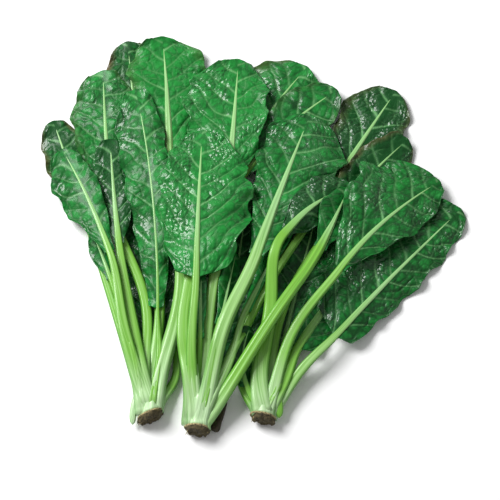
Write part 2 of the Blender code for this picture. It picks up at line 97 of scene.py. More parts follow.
# The relief of a blade.
VEIN_CURVE = 0.006  # how much more a side vein leans with each millimetre outwards
VEIN_DRIFT = 0.34  # how far a side vein wanders, as a share of the vein spacing
VEIN_STAGGER = 0.45  # how far the right side's veins stand from the left's, as the same share
GROOVE_WIDTH = 2.2
GROOVE_DEPTH = 0.8  # this and the next six are shares of the blister height
TISSUE_BULGE = 0.85
CREASE_DEPTH = 1.2
WIDE_BLISTER = 0.7
DRY_CRINKLE = 0.4
WET_CRINKLE = 0.7
CRINKLE_SIZE = 0.42  # of the blister size
FOLD_SHARE = 0.8  # of the pucker height
FULL_RELIEF_REACH = 24.0  # a narrower blade has less relief
FLAT_BY_MIDRIB = 9.0


def linear(colour):
    """An sRGB hex colour as linear values."""
    parts = [int(colour[i : i + 2], 16) / 255.0 for i in (1, 3, 5)]
    return tuple(p / 12.92 if p <= 0.04045 else ((p + 0.055) / 1.055) ** 2.4 for p in parts)


@dataclass
class Leaf:
    """One leaf, from the crown to the tip."""

    name: str
    plant: str
    slot: tuple  # where the stalk stands on its crown, across and up, from -1 to 1
    neck: tuple  # where the stalk becomes the blade
    tip: tuple
    stalk: tuple  # width at the crown and at the neck
    blade: tuple  # widest reach to the left and to the right of the midrib
    widest: float = 0.55
    base_width: float = 0.12
    bow: float = 0.0
    tone: float = 0.5  # from dark to bright green
    pale: float = 0.4  # how white the stalk and midrib are
    brown: float = 0.0  # how brown the margin is
    wet: float = 0.0  # how much wetter than the rest it is


# From the bottom of the pile to its top.
LEAVES = (
    Leaf("left_inner", "left", (0.9, -0.2), (-81, -121), (-87, -34), (9, 6), (7, 6), bow=5, tone=0.4),
    # left_deep, middle_deep and right_deep lie at the bottom of the pile; their low tone is painted shade for
    # the dark gaps between the leaves over them.
    Leaf("left_deep", "left", (0.3, -0.5), (-101, -146), (-124, 48), (8, 6), (28, 26), base_width=0.3,
         tone=0.1),
    Leaf("middle_deep", "middle", (0.3, -0.5), (-45, -152), (-12, 40), (8, 6), (28, 40), base_width=0.3,
         tone=0.1),
    Leaf("right_deep", "right", (0.4, -0.5), (16, -150), (62, 38), (8, 6), (30, 32), base_width=0.3,
         tone=0.1),
    Leaf("left_low", "left", (-0.7, -0.4), (-173, 18), (-209, 125), (9, 7), (22, 25), tone=0.0,
         brown=0.9, wet=-0.5),
    Leaf("left_small", "left", (-0.8, -0.3), (-147, -50), (-166, 0), (7, 5), (11, 9), tone=0.3),
    Leaf("middle_back", "middle", (0.1, -0.5), (-28, 58), (50, 185), (9, 7), (46, 50), widest=0.7,
         tone=0.45, brown=0.7, wet=-0.2),
    Leaf("middle_far", "middle", (0.5, -0.4), (75, 52), (140, 158), (9, 8), (38, 32), widest=0.65, bow=-4,
         brown=0.5, tone=-0.2),
    Leaf("left_back", "left", (0.0, -0.4), (-118, 43), (-135, 214), (11, 8), (26, 28), widest=0.7, bow=12,
         tone=0.05, brown=1.0, wet=-0.5),
    Leaf("left_middle", "left", (-0.3, -0.2), (-147, 29), (-159, 180), (11, 8), (34, 32), widest=0.6,
         bow=19, tone=0.4, pale=0.3, brown=0.3, wet=-0.5),
    Leaf("left_tall", "left", (0.4, 0.3), (-90, 64), (-99, 219), (16, 10), (38, 44), widest=0.7, bow=15,
         tone=0.65, pale=0.7, brown=0.35, wet=-0.35),
    Leaf("middle_under", "middle", (-0.9, -0.1), (-69, -22), (-100, 79), (14, 11), (18, 18), bow=-14,
         tone=0.2),
    Leaf("middle_right", "middle", (0.2, 0.0), (-14, 62), (80, 157), (10, 7), (28, 30), widest=0.6,
         tone=0.35, brown=0.2, wet=-0.3),
    Leaf("middle_tall", "middle", (0.1, 0.3), (-32, 30), (-21, 192), (13, 10), (52, 33), widest=0.62,
         bow=-4, tone=0.6, pale=0.8),
    Leaf("left_dark", "left", (-0.2, 0.1), (-139, -16), (-150, 100), (17, 7), (20, 24), bow=1, tone=-0.1,
         wet=0.2),
    Leaf("left_long", "left", (0.2, 0.5), (-100, -84), (-125, 153), (9, 3), (28, 20), widest=0.75,
         base_width=0.3, bow=3, tone=0.4, pale=-0.8),
    Leaf("left_front", "left", (-0.7, 0.3), (-148, -26), (-199, 91), (16, 7), (28, 16), widest=0.6,
         bow=-7, tone=0.4, pale=0.5, wet=-0.7),
    Leaf("right_short", "right", (-0.9, 0.1), (-19, -157), (-23, -114), (9, 6), (6, 6), tone=0.3,
         pale=0.2),
    Leaf("right_inner", "right", (0.3, 0.5), (22, -156), (31, -106), (7, 5), (6, 6), tone=0.0),
    # right_within's low tone is painted shade for the dark gap between the right stalks.
    Leaf("right_within", "right", (-0.5, 0.3), (-12, -165), (-9, -104), (7, 5), (13, 10), base_width=0.5,
         tone=0.0),
    Leaf("right_cross", "right", (0.4, -0.3), (70, 3), (151, 103), (9, 8), (26, 26), bow=-6, tone=-0.25,
         pale=0.2, brown=0.8),
    Leaf("right_lower", "right", (0.8, -0.2), (38, -124), (140, -4), (12, 9), (26, 30), base_width=0.5,
         bow=3, tone=0.3, pale=0.2),
    Leaf("right_outer", "right", (0.9, -0.1), (75, -112), (203, 28), (12, 7), (50, 25), widest=0.55,
         base_width=0.7, bow=-3, tone=0.2, pale=0.9, wet=-0.2),
    Leaf("middle_inner", "middle", (-0.1, 0.2), (-58, -120), (-57, -50), (7, 5), (6, 6), tone=0.4),
    Leaf("middle_within", "middle", (0.4, 0.3), (-39, -106), (-23, -26), (8, 6), (9, 8), tone=0.4,
         pale=0.6),
    Leaf("middle_curled", "middle", (0.4, 0.5), (-13, -89), (41, 17), (8, 6), (12, 5), bow=7, tone=0.6,
         pale=0.9),
    Leaf("middle_wide", "middle", (0.3, 0.6), (-3, -34), (52, 127), (16, 12), (36, 50), widest=0.75,
         base_width=0.12, bow=-6, tone=0.35, pale=1.1),
    Leaf("right_dark", "right", (-0.1, 0.5), (24, -14), (92, 47), (18, 9), (24, 22), widest=0.66, bow=15,
         tone=-0.1, pale=0.1),
    Leaf("middle_second", "middle", (0.8, 0.5), (60, -24), (89, 42), (13, 10), (17, 17), bow=-4,
         tone=0.35, pale=-0.2),
    Leaf("right_bright", "right", (0.5, 0.4), (80, -46), (182, 56), (12, 7), (56, 28), widest=0.6, bow=-6,
         tone=0.35, pale=0.5),
    Leaf("middle_front", "middle", (-0.4, 0.5), (-62, -60), (-57, 106), (12, 7), (40, 52), widest=0.4,
         base_width=0.55, bow=-3, tone=0.6, pale=0.5, wet=0.2),
)


@dataclass
class Sheath:
    """A short leaf base left beside a crown."""

    plant: str
    top: tuple
    foot: tuple
    half: float  # half its width
    bow: float
    rise: float  # how green it is, as a share of a stalk's length


SHEATHS = (
    Sheath("left", (-118.5, -168.0, 13.0), (-123.5, -201.5, 8.5), half=3.6, bow=-1.5, rise=0.03),
    Sheath("right", (17.0, -169.0, 17.5), (19.5, -195.0, 10.0), half=4.0, bow=1.5, rise=0.6),
)
SHEATH_ROWS = 14
CUT_SIDES = 72
ROOT_STUBS = 5

# How the fine shapes are worked out.
SMOOTH_ROUNDS = 40  # evens out the flat facets of the solids
STALK_ROWS_PER_MM = 0.4
TUBE_SIDES = 24
NOISE_TABLE = 64
COVER_CELL = 2.0
COVER_FIELD = 250.0
COVER_GAP = 0.3
MOST_PRESSED = 5.0
FLOOR_GAP = 0.25
VIEW_CENTRE = (-9.0, -14.56, 0.0)  # what the camera looks at

# The stage, in metres.
FLOOR_REACH = 3.0
LIGHT_SIZE = 1.3
LIGHT_PLACE = (-1.5, 0.85, 1.85)


def smooth_step(t):
    """From 0 to 1 with a soft start and end."""
    t = np.clip(t, 0.0, 1.0)
    return t * t * (3.0 - 2.0 * t)


def noise(x, y, seed):
    """Smooth noise from -1 to 1 with bumps one unit across."""
    table = np.random.default_rng(seed).uniform(-1.0, 1.0, (NOISE_TABLE, NOISE_TABLE))
    left, low = np.floor(x).astype(int), np.floor(y).astype(int)
    right_share, high_share = smooth_step(x - left), smooth_step(y - low)

    def value(i, j):
        return table[(left + i) % NOISE_TABLE, (low + j) % NOISE_TABLE]

    bottom = value(0, 0) + (value(1, 0) - value(0, 0)) * right_share
    top = value(0, 1) + (value(1, 1) - value(0, 1)) * right_share
    return bottom + (top - bottom) * high_share


def cell_edges(x, y, seed):
    """Distance from the nearest edge of irregular cells one unit across, roughly from 0 to 1."""
    table = np.random.default_rng(seed).uniform(0.1, 0.9, (NOISE_TABLE, NOISE_TABLE, 2))
    left, low = np.floor(x).astype(int), np.floor(y).astype(int)
    nearest = np.full(x.shape, 9.0)
    second = nearest.copy()
    for i in (-1, 0, 1):
        for j in (-1, 0, 1):
            spot = table[(left + i) % NOISE_TABLE, (low + j) % NOISE_TABLE]
            away = np.hypot(left + i + spot[..., 0] - x, low + j + spot[..., 1] - y)
            second = np.minimum(second, np.maximum(nearest, away))
            nearest = np.minimum(nearest, away)
    return second - nearest


def smoothed(grid, rounds):
    """The grid with each place drawn towards its four neighbours."""
    for _ in range(rounds):
        padded = np.pad(grid, 1, mode="edge")
        around = padded[2:, 1:-1] + padded[:-2, 1:-1] + padded[1:-1, 2:] + padded[1:-1, :-2]
        grid = grid + 0.2 * (around - 4.0 * grid)
    return grid


def filled(grid):
    """Gives every empty place the mean of its neighbours, from the known places outwards."""
    grid = grid.copy()
    while np.isnan(grid).any():
        known = ~np.isnan(grid)
        if not known.any():
            raise RuntimeError("the frame has nothing under a blade")
        values = np.pad(np.where(known, grid, 0.0), 1)
        counts = np.pad(known.astype(float), 1)
        total = values[2:, 1:-1] + values[:-2, 1:-1] + values[1:-1, 2:] + values[1:-1, :-2]
        count = counts[2:, 1:-1] + counts[:-2, 1:-1] + counts[1:-1, 2:] + counts[1:-1, :-2]
        fill = ~known & (count > 0)
        grid[fill] = total[fill] / count[fill]
    return grid


@lru_cache(maxsize=1)
def frame_shift():
    """From the design's places to the frame's, in millimetres, from where the middle cut end is."""
    low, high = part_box("middle_cut_end")
    x, y = CROWNS["middle"]
    top_of_cut = y - CUT_END_GAP + CUT_RIM_RADIUS * np.tan(np.radians(abs(CUT_TURN["middle"])))
    return Vector(((low.x + high.x) / 2 / MM - x, high.y / MM - top_of_cut, 0.0))


@lru_cache(maxsize=None)
def solid(node):
    """A node of the frame to cast rays on, in design millimetres."""
    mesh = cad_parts[node].data
    points = [vertex.co / MM - frame_shift() for vertex in mesh.vertices]
    return BVHTree.FromPolygons(points, [tuple(face.vertices) for face in mesh.polygons])


def top_heights(node, plan):
    """Height of a node's upper side at each place, empty where it has none."""
    tree, down = solid(node), Vector((0.0, 0.0, -1.0))
    heights = np.full(plan.shape[:-1], np.nan)
    for spot in np.ndindex(*heights.shape):
        hit = tree.ray_cast(Vector((*plan[spot], 200.0)), down)[0]
        if hit is not None:
            heights[spot] = hit[2]
    return heights


def all_top_heights(node, place):
    """Every upward face of a node under a place, from the top down."""
    tree, down, found = solid(node), Vector((0.0, 0.0, -1.0)), []
    start = Vector((*place, 200.0))
    while True:
        hit, normal, _, _ = tree.ray_cast(start, down)
        if hit is None:
            return found
        if normal[2] > 0.2:
            found.append(hit[2])
        start = hit + down * 0.05


def crown_point(leaf):
    """Where a leaf's stalk stands on its crown."""
    x, y = CROWNS[leaf.plant]
    across, up = (SLOT_REACH * CROWN_RADIUS * share for share in leaf.slot)
    slant = across * np.tan(np.radians(CUT_TURN[leaf.plant]))
    return np.array([x + across, y + STALK_START + slant, CROWN_HEIGHT + up])


class LeafShape:
    """One leaf's middle line, its blade as a grid of points and its stalk as rows, in design millimetres."""

    def __init__(self, leaf, number, look):
        self.leaf, self.number, self.look = leaf, number, look
        self.phase = TURN_OF_PHASE * number
        self.start = crown_point(leaf)
        neck, tip = np.array(leaf.neck, float), np.array(leaf.tip, float)
        self.stalk_length = np.linalg.norm(neck - self.start[:2])
        self.blade_length = np.linalg.norm(tip - neck)
        self.length = self.stalk_length + self.blade_length
        self.bend = self.stalk_length / self.length
        self.make_blade()
        self.make_stalk()

    def line(self, along):
        """The middle line at shares of the leaf's length, its heading and the way to its right."""
        leaf, bend, start = self.leaf, self.bend, self.start[:2]
        neck, tip, share = np.array(leaf.neck, float), np.array(leaf.tip, float), along[:, None]
        line = (
            start * (share - bend) * (share - 1.0) / bend
            + neck * share * (share - 1.0) / (bend * (bend - 1.0))
            + tip * share * (share - bend) / (1.0 - bend)
        )
        chord = (neck - start) / self.stalk_length
        bulge = np.sin(np.pi * np.clip(along / bend, 0.0, 1.0)) ** 2
        line += leaf.bow * bulge[:, None] * np.array([chord[1], -chord[0]])
        ahead = np.gradient(line, axis=0)
        ahead /= np.linalg.norm(ahead, axis=1)[:, None]
        return line, ahead, np.stack([ahead[:, 1], -ahead[:, 0]], axis=1)

    def half_stalk(self, along):
        """Half the width of the stalk and midrib."""
        base, neck = self.leaf.stalk
        share = np.clip((along - self.bend) / (1.0 - self.bend), 0.0, 1.0)
        midrib = neck + (MIDRIB_TIP_WIDTH - neck) * share / MIDRIB_END
        width = np.where(share > 0.0, midrib, base + (neck - base) * np.clip(along / self.bend, 0.0, 1.0))
        flare = 1.0 + (BASE_FLARE - 1.0) * (1.0 - smooth_step(along * self.length / FLARE_LENGTH))
        return np.maximum(width, MIDRIB_TIP_WIDTH) * flare / 2.0

    def reach(self, share, side):
        """How far the blade reaches from its midrib on one side."""
        leaf = self.leaf
        widest = leaf.blade[0 if side < 0 else 1]
        beyond = np.clip((share - leaf.widest) / (1.0 - leaf.widest), 0.0, 1.0)
        before = np.clip(1.0 - share / leaf.widest, 0.0, 1.0)
        rounded = np.sqrt(1.0 - (1.0 - TIP_WIDTH**2) * beyond**TIP_ROUNDNESS)
        narrowed = (1.0 - leaf.base_width) * before**NECK_TAPER
        turn = 2.0 * np.pi * share * self.blade_length / LOBE_LENGTH + 2.0 * self.phase + side
        width = widest * (rounded - narrowed) * (1.0 + LOBE_DEPTH * np.sin(turn))
        run = share * self.blade_length
        notches = noise(run / NOTCH_LENGTH, 0.0 * run + 3.0 * side, 40 + self.number)
        notches += 0.5 * noise(run / 4.0, 0.0 * run + 3.0 * side, 80 + self.number)
        return width * (1.0 + NOTCH_DEPTH * notches)

    def make_blade(self):
        """The blade's grid in plan, and its heights from the frame with the relief on them."""
        look, leaf = self.look, self.leaf
        rows = int(np.ceil(self.blade_length / look.spacing)) + 1
        half_columns = int(np.ceil(max(leaf.blade) / look.spacing))
        along = np.linspace(self.bend, 1.0, rows)
        share = np.linspace(0.0, 1.0, rows)
        line, ahead, right = self.line(along)
        inner = self.half_stalk(along) + RIB_GAP
        plan = np.zeros((rows, 2 * half_columns + 1, 2))
        across = np.linspace(-1.0, 1.0, 2 * half_columns + 1)
        offset = np.zeros(plan.shape[:2])
        for column, part in enumerate(across):
            side = -1 if part < 0 else 1
            reach = np.maximum(self.reach(share, side), inner + LEAST_REACH)
            offset[:, column] = abs(part) * reach
            beyond = np.maximum(offset[:, column] - inner, 0.0)
            sweep = (VEIN_SWEEP * (1.0 - share) - TIP_SWEEP * share**3) * beyond
            aside = side * right * offset[:, column, None]
            plan[:, column] = line + aside + ahead * sweep[:, None]
        self.plan, self.offset = plan, offset
        self.across = np.broadcast_to(across, offset.shape)
        self.run = np.broadcast_to((share * self.blade_length)[:, None], offset.shape)
        solid_height = top_heights(f"{leaf.name}_blade", plan) - BLADE_THICKNESS / 2
        self.middle = half_columns
        self.height = smoothed(filled(solid_height), SMOOTH_ROUNDS)
        self.midrib_height = self.height[:, half_columns].copy()
        self.relief()

    def relief(self):
        """Veins sunk between bulging tissue, crinkled wet patches, broad puckers, a ruffled margin and
        painted hollow shade.
        """
        look, seed = self.look, 9 * self.number
        side = np.where(self.across < 0, -1.0, 1.0)
        away, run, edge = self.offset, self.run, np.abs(self.across)
        aside = side * away

        def bumps(length, width, number):
            """Noise with bumps of a length along the leaf and a width across it."""
            return noise(run / length, aside / width, seed + number)

        def cells(size, warp, number):
            """Distance in millimetres from the edges of irregular cells."""
            shift = warp * bumps(1.3 * size, 1.3 * size, number)
            turn = warp * bumps(1.1 * size, 1.1 * size, number + 1)
            return size * cell_edges((run + 0.4 * away + shift) / size, (aside + turn) / size, seed + number)

        drift = bumps(24.0, 22.0, 1)
        off_midrib = smooth_step((away - 1.5) / FLAT_BY_MIDRIB)
        inside = smooth_step((1.03 - edge) / 0.15)

        # Side veins leave the midrib forwards and turn further forwards on their way out.
        ahead = run - look.vein_lean * away - VEIN_CURVE * away**2 + VEIN_DRIFT * look.vein_spacing * drift
        phase = ahead / look.vein_spacing + np.where(side > 0, VEIN_STAGGER, 0.0)
        slant = np.hypot(1.0, look.vein_lean + 2.0 * VEIN_CURVE * away)
        from_vein = np.abs((phase + 0.5) % 1.0 - 0.5) * look.vein_spacing / slant
        strength = 0.7 + 0.3 * noise(np.rint(phase), 3.0 * side, seed + 2)
        vein_width = 0.45 + 0.55 * (1.0 - edge)
        vein = strength * np.exp(-((from_vein / vein_width) ** 2)) * (1.0 - 0.5 * edge)
        groove = strength * np.exp(-((from_vein / GROOVE_WIDTH) ** 2))
        bulge = 1.0 - (1.0 - np.clip(2.0 * from_vein * slant / look.vein_spacing, 0.0, 1.0)) ** 2

        # Tissue swells in cells between the small veins, and in finer ones where it is wet.
        wide, small = cells(look.blister_size, 4.0, 3), cells(CRINKLE_SIZE * look.blister_size, 2.0, 5)
        branch = np.exp(-((wide / 0.6) ** 2)) * smooth_step((bumps(19.0, 15.0, 4) + 0.4) / 0.6)
        wet = bumps(27.0, 19.0, 6) + 0.5 * bumps(9.0, 8.0, 2)
        self.wet = smooth_step((wet + look.wetness + self.leaf.wet - 0.4) / 0.6) * off_midrib
        crinkle = DRY_CRINKLE + WET_CRINKLE * self.wet
        blisters = WIDE_BLISTER * smooth_step(wide / 5.0) + crinkle * (smooth_step(small / 2.2) - 0.6)

        # Creases follow a line where a broad noise changes sign, and fade in and out along it.
        crossing = bumps(27.0, 31.0, 11)
        crease = np.exp(-((crossing / 0.055) ** 2)) * smooth_step((bumps(16.0, 16.0, 12) - 0.05) / 0.25)
        # The blister value is painted shade: it is lowest in the hollows between cells, beside the vein
        # grooves and along the creases, and darkens the green there.
        painted_cell_shade = 0.45 + 0.55 * smooth_step(small / 1.8)
        self.blister = smooth_step(wide / 6.0) * smooth_step(from_vein / 3.0) * painted_cell_shade * (1.0 - crease)

        puckers = bumps(23.0, 19.0, 7) + 0.45 * bumps(10.0, 9.0, 8)
        folds = 1.0 - 2.0 * np.abs(noise(run / 31.0 + 0.4 * drift, aside / 21.0, seed + 9))
        bulging = 0.75 + 0.5 * bumps(25.0, 25.0, 5)
        rise = (blisters - 0.5) * bulging + TISSUE_BULGE * (bulge - 0.6) - GROOVE_DEPTH * groove
        rise = rise - CREASE_DEPTH * crease
        broad = look.pucker_height * (puckers + FOLD_SHARE * folds * edge)
        rise = look.blister_height * rise * inside + broad
        wave = 2.0 * np.pi * (run + 9.0 * noise(run / 24.0, side, seed + 5)) / look.ruffle_length + side
        rise = rise * off_midrib + look.ruffle_height * edge**3 * np.sin(wave) * off_midrib
        self.height = self.height + np.minimum(1.0, max(self.leaf.blade) / FULL_RELIEF_REACH) * rise
        self.vein = np.clip(np.maximum(vein, 0.3 * branch * off_midrib), 0.0, 1.0)

    def make_stalk(self):
        """Rows of the stalk from the cut to the neck, and on as the midrib."""
        stalk_rows = int(np.ceil(self.stalk_length * STALK_ROWS_PER_MM)) + 1
        below = np.linspace(0.0, self.bend, stalk_rows)
        line, _, _ = self.line(below)
        heights = self.stalk_heights(line, below)
        last = MIDRIB_LAST
        beyond = np.linspace(0.0, last, int(np.ceil(last * self.blade_length * STALK_ROWS_PER_MM)) + 1)[1:]
        rows = np.linspace(0.0, 1.0, len(self.midrib_height))
        heights = np.concatenate([heights, np.interp(beyond, rows, self.midrib_height)])
        for _ in range(10):
            heights[1:-1] += 0.5 * (0.5 * (heights[2:] + heights[:-2]) - heights[1:-1])
        along = np.concatenate([below, self.bend + beyond * (1.0 - self.bend)])
        line, ahead, right = self.line(along)
        half = self.half_stalk(along)
        share = np.concatenate([0.0 * below, beyond])
        thinned = half * (1.0 - 0.6 * (share - MIDRIB_END) / (last - MIDRIB_END))
        half = np.where(share > MIDRIB_END, thinned, half)
        # One more row carries the stalk down to the cut.
        root = line[0] - (STALK_START - 0.6) * np.array([0.0, 1.0])
        self.spine = np.column_stack([np.vstack([root, line]), np.concatenate([heights[:1], heights])])
        self.spine_right = np.vstack([right[:1], right])
        self.spine_half = np.concatenate([half[:1], half])
        self.spine_share = np.concatenate([[0.0], share])
        self.spine_run = np.concatenate([[-STALK_START], along * self.length])

    def stalk_heights(self, line, along):
        """The smoothest way over the frame's upward faces from the crown to the neck."""
        node = f"{self.leaf.plant}_stalks"
        rise = 2.0 * STALK_RISE * self.half_stalk(along)
        levels = [[self.start[2]]]
        for row in range(1, len(line) - 1):
            levels.append([top - rise[row] for top in all_top_heights(node, line[row])])
        levels.append([self.midrib_height[0]])
        known = [row for row, level in enumerate(levels) if level]
        costs, choices = [np.zeros(1)], [None]
        for before, row in zip(known, known[1:]):
            step = np.subtract.outer(levels[row], levels[before]) ** 2 / (row - before)
            total = step + costs[-1][None, :]
            choices.append(total.argmin(axis=1))
            costs.append(total.min(axis=1))
        pick, path = 0, []
        for index in range(len(known) - 1, -1, -1):
            path.append(levels[known[index]][pick])
            pick = choices[index][pick] if index else 0
        return np.interp(np.arange(len(line)), known, path[::-1])


class Cover:
    """The lowest underside over each place, from the pile's top down."""

    def __init__(self):
        size = int(2 * COVER_FIELD / COVER_CELL) + 1
        self.low = np.full((size, size), np.inf)

    def spots(self, places):
        spots = np.rint((places + COVER_FIELD) / COVER_CELL).astype(int)
        return tuple(np.clip(spots, 0, len(self.low) - 1).T)

    def over(self, places):
        return self.low[self.spots(places.reshape(-1, 2))].reshape(places.shape[:-1])

    def add(self, places, heights):
        np.minimum.at(self.low, self.spots(places.reshape(-1, 2)), heights.reshape(-1))


def press_down(shape, cover):
    """Lowers a blade where it would come through what lies on it, and adds the leaf to the cover."""
    room = cover.over(shape.plan) - COVER_GAP - shape.look.thickness
    pressed = np.clip(shape.height - room, 0.0, MOST_PRESSED)
    for _ in range(6):
        pressed = np.maximum(pressed, smoothed(pressed, 2))
    shape.height = np.maximum(shape.height - pressed, FLOOR_GAP + shape.look.thickness / 2)
    cover.add(shape.plan, shape.height - shape.look.thickness / 2)
    for part in (-0.7, 0.0, 0.7):
        places = shape.spine[:, :2] + part * shape.spine_half[:, None] * shape.spine_right
        cover.add(places, shape.spine[:, 2] - 1.6 * STALK_DEPTH * shape.spine_half)


@lru_cache(maxsize=1)
def leaf_shapes():
    """Every leaf at the fine spacing, pressed to fit under the ones on top of it."""
    look = bpy.context.scene.chard_blades.in_mm()
    shapes = [LeafShape(leaf, number, look) for number, leaf in enumerate(LEAVES)]
    cover = Cover()
    for shape in reversed(shapes):
        press_down(shape, cover)
    return shapes


class Skin:
    """Points, faces and values of one piece, gathered before they become a mesh."""

    def __init__(self):
        self.points, self.faces, self.corners, self.values, self.count = [], [], [], {}, 0

    def add_points(self, points, values):
        index = self.count + np.arange(points[..., 0].size).reshape(points.shape[:-1])
        self.points.append(points.reshape(-1, 3))
        self.count += index.size
        for name, value in values.items():
            self.values.setdefault(name, []).append(np.broadcast_to(value, index.shape).reshape(-1))
        return index

    def add_quads(self, index, chart, turned=False):
        """Faces between the rows of an index grid, laid out on the chart's part of the texture square."""
        left, low, right, high = chart
        u, v = np.meshgrid(np.linspace(left, right, index.shape[1]), np.linspace(low, high, index.shape[0]))
        square = np.stack([u, v], axis=-1)

        def corners(grid):
            four = [grid[:-1, :-1], grid[:-1, 1:], grid[1:, 1:], grid[1:, :-1]]
            joined = np.stack(four[::-1] if turned else four, axis=2)
            return joined.reshape(-1, *joined.shape[2:])

        self.faces += corners(index).tolist()
        self.corners += corners(square).reshape(-1, 2).tolist()

    def add_cap(self, ring, place):
        self.faces.append(list(ring))
        self.corners += [list(place)] * len(ring)

    def make(self, name, material, slot, nodes):
        """The mesh object, which stands for the frame's nodes."""
        mesh = bpy.data.meshes.new(name)
        points = (np.concatenate(self.points) + np.array(frame_shift())) * MM
        mesh.from_pydata(points.tolist(), [], self.faces)
        uv = mesh.uv_layers.new(name="OFBake")
        uv.data.foreach_set("uv", np.array(self.corners, np.float32).reshape(-1))
        for value_name, values in self.values.items():
            attribute = mesh.attributes.new(value_name, "FLOAT", "POINT")
            attribute.data.foreach_set("value", np.concatenate(values).astype(np.float32))
        mesh.materials.append(material)
        mesh.shade_smooth()
        piece = bpy.data.objects.new(name, mesh)
        bpy.context.scene.collection.objects.link(piece)
        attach(piece, "root")
        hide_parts(*nodes)
        return piece


def grid_normals(points):
    """The upward direction at each point of a grid."""
    along = np.gradient(points, axis=0)
    across = np.gradient(points, axis=1)
    normals = np.cross(across, along)
    return normals / np.maximum(np.linalg.norm(normals, axis=2), 1e-9)[..., None]


def blade_skin(shape):
    """The blade as a thin sheet: upper side, underside and the rim between them."""
    middle = np.concatenate([shape.plan, shape.height[..., None]], axis=2)
    edge = np.abs(shape.across)
    half = shape.look.thickness / 2 * (1.0 - 0.5 * edge**4)
    normals = grid_normals(middle)
    skin = Skin()
    shared = {
        "vein": shape.vein,
        # blister carries the painted shade of the blade's hollows.
        "blister": shape.blister,
        "wet": shape.wet,
        "edge": edge,
        "across_mm": shape.offset * np.sign(shape.across),
        "along_mm": shape.run,
        "tone": shape.leaf.tone,
        "brown": shape.leaf.brown,
        "number": shape.number,
    }
    top = skin.add_points(middle + half[..., None] * normals, {**shared, "under": 0.0})
    below = middle - half[..., None] * normals
    below[..., 2] = np.maximum(below[..., 2], 0.05)
    bottom = skin.add_points(below, {**shared, "under": 1.0})
    skin.add_quads(top, (0.01, 0.01, 0.49, 0.99))
    skin.add_quads(bottom, (0.51, 0.01, 0.99, 0.99), turned=True)

    def border(grid):
        return np.concatenate([grid[0, :], grid[1:, -1], grid[-1, -2::-1], grid[-2::-1, 0]])

    skin.add_quads(np.stack([border(bottom), border(top)]), (0.495, 0.0, 0.505, 0.005))
    return skin


def add_tube(skin, rings, chart, values):
    """Joins rings into a closed tube."""
    index = skin.add_points(rings, values)
    skin.add_quads(np.concatenate([index, index[:, :1]], axis=1), chart, turned=True)
    skin.add_cap(index[0], chart[:2])
    skin.add_cap(index[-1][::-1], chart[:2])


def stalk_rings(shape, ridge_height, ridge_count):
    """Rings of a ribbed stalk with a shallow channel along its top."""
    turn = np.linspace(0.0, 2.0 * np.pi, TUBE_SIDES, endpoint=False)[None, :]
    half = shape.spine_half[:, None]
    run = shape.spine_run[:, None]
    out = np.sign(np.cos(turn)) * np.abs(np.cos(turn)) ** 0.85
    drift = 0.35 * np.sin(run / 60.0 + shape.phase)
    ridges = np.cos(ridge_count * turn + shape.phase + drift)
    ridges = ridges + 0.6 * np.cos((ridge_count + 5) * turn + 2.0 * drift)
    full = smooth_step((half - 1.0) / 3.0)
    swell = 1.0 + ridge_height * full / np.maximum(half, 1.0) * ridges
    up = np.where(np.sin(turn) > 0, 2.0 * STALK_RISE * 1.25, 2.0 * STALK_DEPTH) * np.sin(turn)
    channel = 0.16 * np.exp(-((out / 0.4) ** 2)) * (np.sin(turn) > 0) * full
    across = half * out * swell
    rise = half * (up * swell - channel)
    right = np.pad(shape.spine_right, ((0, 0), (0, 1)))[:, None, :]
    points = shape.spine[:, None, :] + across[..., None] * right
    points[..., 2] = np.maximum(points[..., 2] + rise, 0.1)
    values = {
        "around_mm": half * turn,
        "along_mm": run,
        "share": shape.spine_share[:, None],
        "rise": np.clip(run / shape.stalk_length, 0.0, 1.0),
        "pale": shape.leaf.pale,
        # side, how far round to a flank a point is, sets the painted shade on the flanks.
        "side": np.abs(np.cos(turn)),
        "number": shape.number,
    }
    return points, values


def sheath_rings(sheath, number):
    """Rings of a short leaf base that wraps the crown, thin and rounded off at both ends."""
    share = np.linspace(0.0, 1.0, SHEATH_ROWS)[:, None]
    turn = np.linspace(0.0, 2.0 * np.pi, TUBE_SIDES, endpoint=False)[None, :]
    top, foot = np.array(sheath.top), np.array(sheath.foot)
    length = np.linalg.norm(foot - top)
    spine = top + share * (foot - top) + np.sin(np.pi * share) * np.array([sheath.bow, 0.0, 0.0])
    half = sheath.half * np.sqrt(np.clip(1.0 - (2.0 * share - 1.0) ** 4, 0.02, 1.0)) * (0.75 + 0.25 * share)
    right = np.array([foot[1] - top[1], top[0] - foot[0], 0.0]) / -length
    ridges = 1.0 + 0.05 * np.cos(7.0 * turn + number)
    points = spine[:, None, :] + (half * np.cos(turn) * ridges)[..., None] * right
    points[..., 2] = np.maximum(points[..., 2] + 0.55 * half * np.sin(turn) * ridges, 0.1)
    values = {
        "around_mm": half * turn,
        "along_mm": share * length,
        "share": 0.0,
        "rise": sheath.rise,
        "pale": 0.9 - sheath.rise,
        "side": np.abs(np.cos(turn)),
        "number": number,
    }
    return points, values


